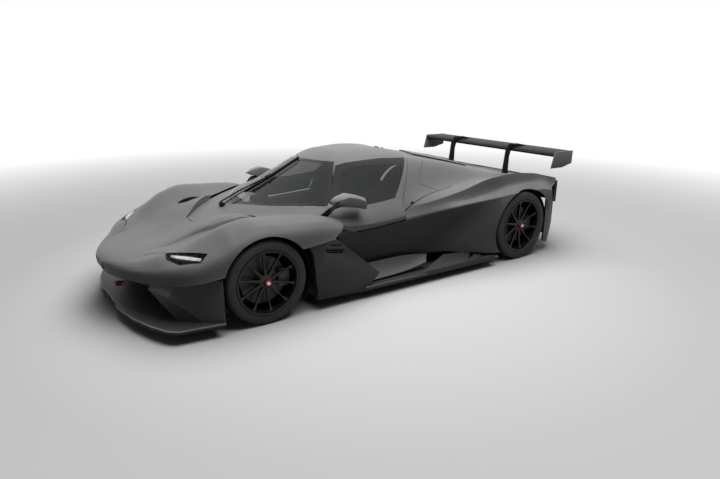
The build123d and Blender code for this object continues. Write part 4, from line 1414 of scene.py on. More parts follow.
@dataclass
class RearBody:
    """The rear clamshell, engine cover and flanks with painted shade."""

    rows: Sequence[Row] = field(default_factory=lambda: REAR_ROWS)
    soft: tuple[float, ...] = (1.0, 0.9, 0.8, 0.8, 0.12, 0.9, 0.35, 0.0)
    wall: float = 0.008
    arch_radius: float = 378
    arch_trail: float = 30
    arch_inner: float = 660
    gap: float = 5
    rake_inner: float = 760
    rake: Outline = (
        (-2190, 762), (-2170, 700), (-2075, 628), (-1950, 560), (-1900, 535), (-1900, 300),
        (-2400, 300), (-2400, 762),
    )
    tail: Outline = (
        (-2300, 850), (-2185, 850), (-2109, 900), (-2002, 950), (-1940, 985), (-1940, 1100),
        (-2300, 1100),
    )
    cover: Outline = ((0, 830), (-120, 812), (-752, 704), (-812, 655), (-1700, 605), (-1715, 560))
    seam: Outline = ((640, 600), (452, 600), (430, 552), (-84, 578), (-1165, 680))

    shut: float = 0.4
    creases: tuple[Press, ...] = (
        Press(
            ((-2080, 858), (-1750, 866), (-1450, 866), (-1165, 856), (-800, 840), (-520, 826)), 30, 75,
            0.2, 0.25,
        ),
    )
    pulls: Outline = ((-568, 730), (-469, 698), (-388, 676), (-423, 626), (-485, 572), (-567, 503))
    ledge: tuple[tuple[Triple, ...], ...] = (
        ((340, 846, 258), (330, 852, 212), (322, 872, 158), (318, 904, 118)),
        ((94, 856, 264), (80, 858, 210), (50, 872, 152), (24, 902, 122)),
        ((-70, 856, 261), (-76, 858, 212), (-84, 872, 160), (-91, 902, 132)),
        ((-257, 856, 240), (-246, 858, 205), (-230, 874, 174), (-210, 902, 150)),
        ((-345, 856, 222), (-330, 862, 205), (-312, 882, 188), (-300, 902, 170)),
    )
    struts: tuple[tuple[Triple, ...], ...] = (
        ((-197, 986, 121), (-547, 866, 188), (-900, 866, 150), (-750, 986, 119)),
        ((-760, 986, 119), (-956, 882, 130), (-1081, 882, 110), (-891, 986, 118)),
    )

    def behind(self, gap: float) -> Piece:
        """All that lies behind the canopy's rear edge, past a gap."""
        outline = [(x - gap, z) for x, z in CANOPY_EDGE] + [(-3000, 1300), (-3000, 0), (-84 - gap, 0)]
        return prism("behind", outline, -FAR, FAR, "side")

    def below(self, gap: float) -> Piece:
        """All that lies below the seam over the flanks with painted shade."""
        outline = [(x, z + gap) for x, z in self.seam] + [(-1165, 0), (640, 0)]
        return prism("below", outline, -FAR, FAR, "side")

    def cover_tool(self, gap: float) -> Piece:
        """The engine cover's plan, grown by a gap."""
        side = [
            (x - gap if x < -1690 else x, y + (gap if x > -800 else min(gap, self.shut)))
            for x, y in self.cover
        ]
        return prism("cover_tool", mirrored_outline(side), 560, FAR, "plan")

    def shell(self, name: str, ahead: float, behind: float) -> Piece:
        """The skin with its wheel arches cut.

        Args:
            name: The piece's name.
            ahead: Front station in millimetres.
            behind: Rear station in millimetres.

        Returns:
            The open skin.
        """
        made = pressed(Skin(self.rows, self.soft).surface(name, ahead, behind), self.creases)
        for side in (1, -1):
            low, high = sorted((side * self.arch_inner, side * FAR))
            for back in (0, self.arch_trail):
                x, z = REAR_AXLE
                trimmed(made, disc_tool("arch", x - back, z, self.arch_radius, low, high))
            low, high = sorted((side * self.rake_inner, side * FAR))
            trimmed(made, prism("rake", self.rake, low, high, "side"))
            trimmed(made, prism("tail_corner", flipped(self.tail, side), 0, FAR, "plan"))
        return made

    def build(self) -> None:
        """Makes the clamshell, the cover and the flanks."""
        flanks = self.shell("flank_skins", 640, -1165)
        trimmed(flanks, self.below(0), "INSIDE")
        thickened(flanks, self.wall)
        # the flanks' finish paints shade that darkens them towards the front
        dressed(flanks, Paint.FLANK, ["flanks"], 24)
        upper = self.shell("rear_clam_skin", -60, -2176)
        trimmed(upper, self.behind(self.gap), "INSIDE")
        trimmed(upper, self.below(self.shut))
        for side in (1, -1):
            trimmed(upper, prism("pull_line", flipped(ribbon(self.pulls, 3), side), 700, FAR, "plan"))
        cover = copied(upper, "engine_cover_skin")
        trimmed(upper, self.cover_tool(self.gap))
        thickened(upper, self.wall)
        dressed(upper, Paint.SATIN, ["rear_clam"], 24)
        trimmed(cover, self.cover_tool(0), "INSIDE")
        thickened(cover, self.wall)
        dressed(cover, Paint.SATIN, ["engine_cover"], 24)
        self.trim()

    def liner(self, name: str, axle: Pair, radius: float, turn: Pair, sides: Pair, wall: Pair) -> Piece:
        """A wheel well's dark lining: an arched band and an inner wall with a hole at the axle.

        Args:
            name: The piece's name.
            axle: The wheel's (x, z).
            radius: The band's inner radius.
            turn: Start and end of the band, in degrees from straight ahead.
            sides: The band's inner and outer y.
            wall: The inner wall's two y faces.

        Returns:
            The lining of both sides.
        """
        x, z = axle
        angles = np.radians(np.linspace(*turn, 49))
        inner = [(x + radius * math.cos(a), z + radius * math.sin(a)) for a in angles]
        outer = [(x + (radius + 4) * math.cos(a), z + (radius + 4) * math.sin(a)) for a in angles]
        band = prism(name, inner + outer[::-1], *sides, "side")
        back = prism(name, inner[26:] + outer[26:][::-1], sides[1], sides[1] + 34, "side")
        plate = prism("well_wall", inner, *wall, "side")
        cut(plate, disc_tool("axle_hole", x, z, 150, 0, FAR))
        return both(joined([band, back, plate], name), name)

    def trim(self) -> None:
        """Every small piece on the rear body and the sills."""
        self.linings()
        self.ledges()
        self.strut_plates()
        self.scoop()
        self.aerials()
        self.catches()

    def linings(self) -> None:
        """The wheel wells' dark linings."""
        rear = self.liner("rear_wheel_wells", REAR_AXLE, 380, (-28, 200), (652, 940), (648, 652))
        front = self.liner("front_wheel_wells", FRONT_AXLE, 372, (-36, 212), (560, 925), (556, 560))
        for lining, node in ((rear, "rear_clam"), (front, "front_clam")):
            dressed(lining, Paint.CAVITY, [node])

    def ledges(self) -> None:
        """The hollow ledges under the doors."""
        faces = grid_faces(len(self.ledge), len(self.ledge[0]))
        ledge = new_object("sill_ledges", in_metres(self.ledge), faces)
        modified(ledge, "SUBSURF", levels=2, render_levels=2, boundary_smooth="PRESERVE_CORNERS")
        thickened(ledge, 0.004)
        dressed(both(ledge, "sill_ledges"), Paint.SATIN, ["flanks"])

    def strut_plates(self) -> None:
        """The twisted plates between the sills and the flanks."""
        plates = [
            hull("plate", [corners, [(x, y + 5, z - 5) for x, y, z in corners]])
            for corners in self.struts
        ]
        plate = bevelled(joined(plates, "sill_strut_plates"), 0.0015)
        dressed(both(plate, "sill_strut_plates"), Paint.SATIN_DARK, ["sill_struts"])

    def scoop(self) -> None:
        """The raised lid on the spine, and near-black strips beside it as painted shade for slits."""
        lid = Skin(self.rows, self.soft).surface("air_scoop_lid", -715, -1585)
        lid.data.transform(Matrix.Translation((0, 0, 0.013)))
        outline = mirrored_outline(((-722, 60), (-760, 108), (-1100, 116), (-1560, 102), (-1580, 70)))
        lid = thickened(trimmed(lid, prism("lid_tool", outline, 600, FAR, "plan"), "INSIDE"), 0.012)
        dressed(lid, Paint.SATIN, ["air_scoop"], 24)
        # the slits are not cut: thin near-black strips laid just over the skin are painted shade
        # standing in for dark openings
        slit = Skin(self.rows, self.soft).surface("scoop_slit_shade_strips", -740, -1580)
        slit.data.transform(Matrix.Translation((0, 0, 0.0015)))
        outline = ((-760, 112), (-1100, 118), (-1560, 104), (-1560, 112), (-1100, 128), (-760, 122))
        tools = [prism("slit_tool", flipped(outline, side), 600, FAR, "plan") for side in (1, -1)]
        slit = thickened(trimmed(slit, joined(tools, "slit_tools"), "INSIDE"), 0.002)
        dressed(slit, Paint.CAVITY, ["engine_cover"])

    def aerials(self) -> None:
        """The fin and the ridge on the roof."""
        fin = hull("roof_aerial", [
            [(-338, -9, 1104), (-338, 9, 1104), (-428, 9, 1094), (-428, -9, 1094)],
            [(-350, -6, 1124), (-350, 6, 1124), (-410, 6, 1116), (-410, -6, 1116)],
            [(-362, -2, 1130), (-362, 2, 1130), (-392, 2, 1126), (-392, -2, 1126)],
        ])
        ridge = hull("aerial_ridge", [
            [(-436, -5, 1092), (-436, 5, 1092), (-436, 3, 1114), (-436, -3, 1114)],
            [(-474, -5, 1084), (-474, 5, 1084), (-474, 3, 1103), (-474, -3, 1103)],
        ])
        aerial = bevelled(joined([fin, ridge], "roof_aerials"), 0.001)
        dressed(aerial, Paint.GLOSS, ["engine_cover"])

    def catches(self) -> None:
        """The canopy's diamond catches."""
        catch = hull("canopy_catches", [
            [(-175, 799, 716), (-199, 801, 736), (-224, 801, 716), (-200, 799, 698)],
            [(-175, 790, 716), (-199, 790, 736), (-224, 790, 716), (-200, 790, 698)],
        ])
        dressed(
            both(bevelled(catch, 0.001), "canopy_catches"), Paint.GLOSS, ["rear_clam"],
        )


@dataclass
class Canopy:
    """The lifting canopy: shell, screens, mirrors and wiper."""

    rows: Sequence[Row] = field(default_factory=lambda: CANOPY_ROWS)
    soft: tuple[float, ...] = (1.0, 0.95, 0.55, 0.4, 0.0)
    wall: float = 0.006
    glass: float = 0.005
    frit: float = 30
    rubber: Outline = ((1062, 818), (800, 930), (515, 1070), (515, 1098), (800, 960), (1062, 842))
    screen: Outline = (
        (1228, 0), (1212, 76), (1143, 208), (1071, 316), (1015, 390), (915, 499), (831, 573),
        (720, 622),
        (625, 670), (568, 623), (515, 565), (471, 503), (426, 450), (385, 389), (340, 331), (417, 220),
        (467, 126), (484, 66), (496, 0),
    )
    window: Outline = (
        (356, 1048), (266, 1070), (94, 1083), (-83, 1090), (-351, 1075), (-290, 1020), (-240, 966),
        (-181, 905),
        (-107, 830), (-40, 772), (132, 758), (282, 751), (436, 759), (578, 771), (606, 793), (530, 866),
        (442, 962),
    )
    clear: Outline = (
        (350, 1002), (238, 1037), (16, 1041), (-251, 1031), (-228, 984), (-171, 906), (-68, 801),
        (60, 789),
        (282, 782), (440, 788), (516, 804), (466, 866), (400, 945),
    )
    heads: tuple[tuple[float, ...], ...] = (
        (676, 796, 828, 838, 850), (625, 780, 856, 808, 874), (533, 768, 874, 786, 893),
        (450, 770, 886, 768, 874), (379, 775, 889, 748, 846), (368, 782, 884, 754, 836),
    )

    def shell_blank(self, name: str) -> Piece:
        """The whole canopy surface, cut to its foot and rear edge.

        Args:
            name: The surface's name.

        Returns:
            The surface.
        """
        made = Skin(self.rows, self.soft).surface(name, 1563, -439)
        outline = [*CANOPY_EDGE, (-3000, 1300), (-3000, 0), (-84, 0)]
        trimmed(made, prism("behind", outline, -FAR, FAR, "side"))
        return trimmed(made, prism("foot", mirrored_outline(CANOPY_FOOT), 0, FAR, "plan"), "INSIDE")

    def screen_tool(self, step: float) -> Piece:
        """The windscreen's plan prism, grown by a step."""
        outline = grown(mirrored_outline(self.screen), step)
        return prism("screen_tool", outline, 640, FAR, "plan")

    def window_tool(self, outline: Sequence[Pair]) -> Piece:
        """The side windows' prisms over an outline."""
        sides = [
            prism("window_tool", outline, low, high, "side")
            for low, high in ((340, FAR), (-FAR, -340))
        ]
        return joined(sides, "window_tools")

    def pane(self, blank: Piece, name: str, outer: Piece, inner: Piece | None) -> Piece:
        """A piece of glazing.

        Args:
            blank: The surface that it is cut from.
            name: The piece's name.
            outer: The tool that bounds it.
            inner: The tool for its hole, if it has one.

        Returns:
            The pane, with its wall.
        """
        made = trimmed(copied(blank, name), outer, "INSIDE")
        if inner is not None:
            trimmed(made, inner)
        return thickened(made, self.glass)

    def build(self) -> None:
        """Makes the shell and the glazing."""
        blank = self.shell_blank("canopy_skin")
        glazing = copied(blank, "glazing_blank")
        trimmed(blank, self.screen_tool(2))
        trimmed(blank, self.window_tool(self.window))
        thickened(blank, self.wall)
        dressed(blank, Paint.SATIN, ["canopy_shell"], 24, body=Body.CANOPY)
        front = self.pane(glazing, "windscreen_glass", self.screen_tool(-self.frit), None)
        front_frit = self.pane(
            glazing, "windscreen_frit", self.screen_tool(-1), self.screen_tool(-self.frit - 0.3),
        )
        sides = self.pane(glazing, "side_glass", self.window_tool(self.clear), None)
        edge = trimmed(glazing, self.window_tool(grown(self.window, -1.5)), "INSIDE")
        trimmed(edge, self.screen_tool(0))
        side_frit = self.pane(
            edge, "side_frit", self.window_tool(grown(self.window, 10)),
            self.window_tool(grown(self.clear, 0.3)),
        )
        bpy.data.objects.remove(glazing)
        dressed(front, Paint.GLASS, ["windscreen"], body=Body.CANOPY)
        dressed(front_frit, Paint.FRIT, ["windscreen"], body=Body.CANOPY)
        dressed(sides, Paint.GLASS, ["side_windows"], body=Body.CANOPY)
        dressed(side_frit, Paint.FRIT, ["side_windows"], body=Body.CANOPY)
        self.mirrors()
        self.wiper()

    def mirrors(self) -> None:
        """Mirror heads on slender arms."""
        rings = [
            [
                (x, y_in, z_low + 8), (x, y_in + 3, z_high - 3), (x, y_out - 26, z_high),
                (x, y_out, z_high - 24), (x, y_out - 4, z_low + 4), (x, y_out - 34, z_low),
            ]
            for x, y_in, y_out, z_low, z_high in self.heads
        ]
        head = bevelled(hull("mirror_heads", rings), 0.004, 2, 24)
        dressed(
            both(head, "mirror_heads"), Paint.GREY, ["mirror_heads"], 28,
            body=Body.CANOPY,
        )
        face = prism(
            "mirror_glasses", [(786, 764), (878, 764), (882, 800), (876, 828), (790, 828), (780, 800)],
            365, 369, "end",
        )
        dressed(
            both(face, "mirror_glasses"), Paint.FRIT, ["mirror_heads"], body=Body.CANOPY,
        )
        arm = hull("mirror_arms", [
            [(778, 718, 672), (778, 726, 686), (684, 746, 668), (684, 738, 656)],
            [(742, 744, 712), (742, 752, 724), (674, 764, 716), (674, 756, 704)],
            [(680, 778, 764), (676, 784, 784), (622, 796, 784), (622, 788, 766)],
            [(640, 796, 786), (636, 800, 806), (560, 812, 802), (560, 806, 782)],
            [(560, 812, 780), (556, 816, 800), (470, 826, 786), (470, 822, 766)],
        ])
        dressed(
            both(bevelled(arm, 0.003), "mirror_arms"), Paint.GLOSS, ["mirror_arms"], 50,
            body=Body.CANOPY,
        )

    def wiper(self) -> None:
        """Two parallel wiper arms and a blade along the middle."""
        upper = tube(
            "wiper_arm", [(1290, -10, 744), (1290, -10, 764), (1100, -8, 846), (822, -2, 944)], 8, 8,
            0.8,
        )
        lower = tube(
            "wiper_link", [(1268, 16, 738), (1266, 16, 752), (1100, 20, 830), (900, 14, 908)], 6, 8,
            0.8,
        )
        pivot = lathe(
            "wiper_pivot", [(0.5, -24), (17, -24), (21, -18), (21, 28), (17, 34), (0.5, 34)], 1284, 744,
            32,
        )
        joint = hull("wiper_joint", [
            [(858, -14, 916), (858, 20, 916), (858, 20, 946), (858, -14, 946)],
            [(796, -10, 938), (796, 12, 938), (796, 12, 966), (796, -10, 966)],
        ])
        blade = prism("wiper_blade", self.rubber, -9, 9, "side")
        bevelled(blade, 0.003)
        made = joined([upper, lower, pivot, bevelled(joint, 0.004), blade], "wiper_set")
        dressed(made, Paint.WING, ["wiper"], 40, body=Body.CANOPY)


@dataclass
class Aero:
    """Splitter, blades, bumper, skirt edges and wing."""

    splitter: Outline = (
        (2264, 177), (2281, 242), (2256, 400), (2231, 545), (2166, 751), (2093, 906), (2030, 960),
        (1895, 979), (1705, 1008), (1705, 560), (1640, 520),
    )
    blade: Outline = (
        (988, 562), (799, 578), (736, 577), (302, 213), (441, 97), (914, 97), (933, 316), (953, 485),
    )
    vents: tuple[Outline, ...] = (
        ((846, 515), (667, 483), (686, 445), (828, 479)),
        ((799, 541), (657, 520), (658, 511), (801, 532)),
    )
    plane: Outline = (
        (-1925, 1032), (-1950, 1052), (-2040, 1062), (-2229, 1060), (-2229, 1054), (-2100, 1030),
        (-1990, 1008), (-1940, 1014),
    )
    endplate: Outline = ((-1933, 1066), (-2233, 1063), (-2229, 930), (-2072, 897), (-1888, 900))
    strut: Outline = (
        (-1760, 700), (-1800, 790), (-1835, 1040), (-1880, 1098), (-2021, 1094), (-2150, 1064),
        (-2140, 1056), (-1960, 1046), (-1916, 1036), (-1890, 960), (-1886, 800), (-1920, 700),
    )
    side: Outline = ((-2066, 480), (-2196, 581), (-2266, 525), (-2189, 318), (-2136, 322))
    fin: Outline = (
        (-1897, 120), (-1897, 596), (-1950, 606), (-2060, 540), (-2090, 500), (-2140, 322),
        (-2109, 258), (-2072, 174), (-2006, 84), (-1955, 98),
    )
    skirt: Outline = ((456, 118), (-263, 106), (-1169, 97), (-1182, 74), (-263, 84), (456, 96))
    cheek: Outline = ((-1890, 974), (-1926, 962), (-2000, 940), (-2120, 890), (-2282, 772))

    def build(self) -> None:
        """Makes every aerodynamic piece."""
        self.front()
        self.blades()
        self.wing()
        self.tail()

    def front(self) -> None:
        """The splitter, the wedge corners, the mouth's lattice and the strap."""
        plate = prism("splitter_plate", mirrored_outline(self.splitter), 84, 106, "plan")
        bevelled(plate, 0.004)
        dressed(plate, Paint.SATIN_DARK, ["splitter"])
        edge = self.splitter[:9]
        edge = flipped(edge[::-1], -1) + list(edge)
        rim = prism(
            "splitter_rim", edge + [(x - 12, y * 0.988) for x, y in reversed(edge)], 92, 109, "plan",
        )
        dressed(bevelled(rim, 0.002), Paint.GREY, ["splitter"])
        facets = (
            ((2123, 627, 345), (1972, 771, 107), (1823, 894, 107), (2030, 775, 305)),
            ((2030, 775, 305), (1823, 894, 107), (1700, 985, 107), (1700, 985, 430), (1985, 800, 388)),
            ((2123, 627, 345), (2030, 775, 305), (1985, 800, 388), (2098, 655, 396)),
        )
        panels = [hull("facet", [facet, [(x - 9, y - 9, z) for x, y, z in facet]]) for facet in facets]
        # the first facet is painted a lighter grey as painted light, for the light it catches facing
        # forward and down; the other facets stay satin
        wedge = panels.pop(0)
        dressed(both(wedge, "lit_corner_wedges"), Paint.GREY, ["front_corners"])
        corner = joined(panels, "front_corner_panels")
        dressed(both(corner, "front_corner_panels"), Paint.SATIN, ["front_corners"])
        dressed(self.lattice(), Paint.MESH, ["front_grille"])
        strap = hull("tow_loop", [
            [(2176, 102, 256), (2176, 154, 256), (2176, 154, 260), (2176, 102, 260)],
            [(2230, 100, 262), (2230, 156, 262), (2230, 156, 266), (2230, 100, 266)],
            [(2242, 100, 258), (2242, 156, 258), (2246, 156, 257), (2246, 100, 257)],
            [(2236, 100, 246), (2236, 156, 246), (2239, 156, 244), (2239, 100, 244)],
            [(2190, 102, 240), (2190, 154, 240), (2190, 154, 236), (2190, 102, 236)],
        ])
        dressed(strap, Paint.STRAP, ["tow_strap"])

    def lattice(self) -> Piece:
        """The diamond lattice in the mouth."""
        across, up = 50, 5
        reach, foot, height = 640, 338, 84
        half = ((0, 2226), (226, 2206), (394, 2150), (560, 2085), (reach, 2040))
        rows = 2 * up + 1
        points, faces = [], []
        for i in range(2 * across + 1):
            y = -reach + 2 * reach * i / (2 * across)
            x = float(np.interp(abs(y), [p[0] for p in half], [p[1] for p in half]))
            points += [(x * MM, y * MM, (foot + height * k / (2 * up)) * MM) for k in range(rows)]
        for i in range(1, 2 * across):
            for k in range(1, 2 * up):
                if (i + k) % 2:
                    faces.append(
                        ((i - 1) * rows + k, i * rows + k - 1, (i + 1) * rows + k, i * rows + k + 1)
                    )
        made = new_object("mouth_lattice", points, faces)
        modified(made, "WIREFRAME", thickness=0.0035, use_even_offset=True)
        rail = [(x + 2, y) for y, x in half]
        rail = mirrored_outline(rail + [(x - 8, y) for x, y in rail[::-1]])
        bars = [prism("rail", rail, low, low + 6, "plan") for low in (334, 420)]
        back = prism("duct_wall", [(-610, 108), (610, 108), (610, 470), (-610, 470)], 1880, 1886, "end")
        return joined([made, *bars, back], "mouth_lattice")

    def blades(self) -> None:
        """The blades behind the front wheels, with their vent slats."""
        made = prism("side_blade_panels", self.blade, 940, 990, "side")
        cut(made, disc_tool("wheel_room", *FRONT_AXLE, 372, 0, FAR))
        for room in self.vents:
            cut(made, prism("vent_room", room, 900, 1050, "side"))
        bevelled(made, 0.004, 2)
        slats = [
            prism("slat", [(850, z + 14), (664, z - 12), (666, z - 18), (852, z + 8)], 950, 982, "side")
            for z in (462, 480, 498)
        ]
        made = joined([made, *slats], "side_blade_panels")
        dressed(both(made, "side_blade_panels"), Paint.SATIN_DARK, ["side_blades"])

    def wing(self) -> None:
        """The wing plane, its end plates and its struts."""
        made = prism("wing_foil", rounded(self.plane, 12, 4), -982, 982, "side")
        dressed(made, Paint.WING, ["wing_plane"], 30)
        plate = bevelled(prism("wing_end_plates", self.endplate, 982, 990, "side"), 0.002)
        dressed(both(plate, "wing_end_plates"), Paint.GREY, ["wing_endplates"])
        strut = prism("wing_strut_blades", self.strut, 417, 433, "side")
        bevelled(strut, 0.003)
        dressed(both(strut, "wing_strut_blades"), Paint.WING, ["wing_struts"])

    def tail(self) -> None:
        """The bumper with its cheeks."""
        band = [(-2176, 880), (-2240, 780), (-2256, 0)]
        outer = mirrored_outline(band)
        inner = [(x + 20, y * 0.985) for x, y in outer]
        wall = prism("rear_bumper_band", outer + inner[::-1], 500, 728, "plan")
        cut(
            wall,
            prism("mesh_room", [(-560, 520), (560, 520), (560, 700), (-560, 700)], -2320, -2200, "end"),
        )
        strip = list(self.cheek) + [(x + 24, y - 12) for x, y in reversed(self.cheek)]
        shapes = []
        for name, outline in (("cheek", self.side), ("fin", self.fin)):
            shape = prism(name, outline, 700, 1000, "side")
            cut(shape, prism("cheek_plan", strip, 0, FAR, "plan"), "INTERSECT")
            shapes.append(cut(shape, disc_tool("tyre_room", *REAR_AXLE, 372, 0, FAR)))
        made = joined([wall, both(shapes[0], "cheeks")], "rear_bumper_skin")
        dressed(made, Paint.SATIN, ["rear_bumper"])
        dressed(
            both(shapes[1], "rear_bumper_fins"), Paint.SATIN_DARK, ["rear_bumper"],
        )
        skirt = prism("skirt_edges", self.skirt, 997, 1002, "side")
        dressed(both(bevelled(skirt, 0.002), "skirt_edges"), Paint.GREY)


# ------------------------------------------------------------------ wheels


@dataclass
class Wheel:
    """One wheel: rim, tyre and nut, in the left wheel's frame."""

    axle: Pair
    middle: float
    width: float
    radius: float
    seat: float
    rim_body: Body
    tag: str
    side: int
    spokes: int = 10
    hub_inset: float = 30
    hub_radius: float = 58
    # bead seat to the rim's lip, and to the barrel's bore
    lip: float = 14
    barrel_wall: float = 7
    # a spoke's half width at the hub, its loss on the way out and its gain at the barrel
    spoke_half: float = 13.5
    spoke_waist: float = 6.5
    spoke_foot: float = 7.5
    # share of the spoke's length at which its foot begins
    foot_start: float = 0.86

    def placed(self, piece: Piece) -> Piece:
        """Mirrors a left piece when the wheel is on the right.

        Args:
            piece: The piece of a left wheel.

        Returns:
            The same piece.
        """
        if self.side > 0:
            return piece
        piece.data.transform(Matrix.Scale(-1.0, 4, Vector((0, 1, 0))))
        piece.data.flip_normals()
        return piece

    def tyre(self) -> None:
        """The tyre with grooved tread and stepped shoulders."""
        half = self.width / 2
        top = self.radius
        bead = half - 9
        flange = self.seat + self.lip
        side = [
            (self.seat + 0.2, bead),
            (flange + 1, bead),
            (flange + 5, half - 3),
            (flange + 16, half),
            (flange + 22, half - 1.5),
            (top - 40, half + 0.0),
            (top - 26, half - 2),
            (top - 12, half - 8),
            (top - 4, half - 20),
            (top, half - 34),
        ]
        groove = [(top, 44), (top - 5, 42), (top - 5, 35), (top, 33)]
        outer = side + groove
        profile = [(r, self.middle + y) for r, y in outer] + [
            (r, self.middle - y)
            for r, y in reversed(outer)
        ]
        made = lathe(f"tyre_{self.tag}_dressed", profile, *self.axle, 180)
        dressed(
            self.placed(made), Paint.RUBBER, [f"tyre_{self.tag}"], 32,
            body=self.rim_body,
        )

    def rim(self) -> None:
        """The rim: barrel, spokes, hub and centre nut."""
        inner = self.middle - self.width / 2
        outer = self.middle + self.width / 2
        seat, flange, bore = self.seat, self.seat + self.lip, self.seat - self.barrel_wall
        barrel = [
            (bore - 4, inner + 2), (flange, inner), (flange, inner + 7), (seat, inner + 12),
            (seat, outer - 12), (flange, outer - 7), (flange - 1, outer - 1), (flange - 8, outer),
            (seat - 2, outer - 3), (bore - 2, outer - 14), (bore - 6, outer - 60),
            (bore - 4, inner + 40),
        ]
        parts = [lathe("barrel", barrel, *self.axle, 144)]
        hub_out = outer - self.hub_inset
        hub = [
            (22, hub_out - 50), (self.hub_radius, hub_out - 50), (self.hub_radius, hub_out - 16),
            (self.hub_radius - 12, hub_out - 4), (40, hub_out), (22, hub_out),
        ]
        parts.append(lathe("hub", hub, *self.axle, 72))
        parts += [self.spoke(i, hub_out, bore) for i in range(self.spokes)]
        made = joined(parts, f"rim_{self.tag}_dressed")
        dressed(self.placed(made), Paint.RIM, [f"rim_{self.tag}"], 35, body=self.rim_body)
        self.nut(hub_out)

    def spoke(self, index: int, hub_out: float, bore: float) -> Piece:
        """One slender tapered spoke.

        Args:
            index: Its number round the wheel.
            hub_out: The hub face's y.
            bore: The barrel's inner radius.

        Returns:
            The spoke.
        """
        x, z = self.axle
        turn = 2 * math.pi * (index + 0.35) / self.spokes
        along = Vector((math.cos(turn), 0, math.sin(turn)))
        across = Vector((-math.sin(turn), 0, math.cos(turn)))
        rings = []
        for share in np.linspace(0, 1, 9):
            r = self.hub_radius - 14 + (bore - self.hub_radius + 12) * share
            waist = self.spoke_waist * math.sin(math.pi * min(share * 1.15, 1) / 2)
            foot = self.spoke_foot * max(0.0, share - self.foot_start) / 0.14
            half = self.spoke_half - waist + foot
            face = hub_out - 6 - 10 * math.sin(math.pi * share) + 14 * share
            depth = 34 - 12 * share
            centre = Vector((x, 0, z)) + along * r
            corners = [
                (-half, face - 3), (-half * 0.55, face), (half * 0.55, face), (half, face - 3),
                (half * 0.8, face - depth), (-half * 0.8, face - depth),
            ]
            rings.append([tuple(centre + across * a + Vector((0, y, 0))) for a, y in corners])
        return hull("spoke", rings)

    def nut(self, hub_out: float) -> None:
        """The red centre nut with its bright tip.

        Args:
            hub_out: The hub face's y.
        """
        start = hub_out - 2
        red = [
            (22, start), (31, start), (31, start + 6), (27, start + 12), (27, start + 24),
            (24, start + 28), (15, start + 28), (15, start + 10),
        ]
        made = lathe(f"wheel_nut_{self.tag}", red, *self.axle, 12)
        dressed(
            self.placed(bevelled(made, 0.0015)), Paint.NUT_RED, (), 35, body=self.rim_body,
        )
        tip = [(0.5, start + 8), (16, start + 8), (16, start + 30), (12, start + 35), (0.5, start + 37)]
        pin = lathe(f"wheel_tip_{self.tag}", tip, *self.axle, 40)
        dressed(self.placed(pin), Paint.BRIGHT, (), 35, body=self.rim_body)

    def build(self) -> None:
        """Makes the whole wheel."""
        self.tyre()
        self.rim()


# ------------------------------------------------------------------ cabin


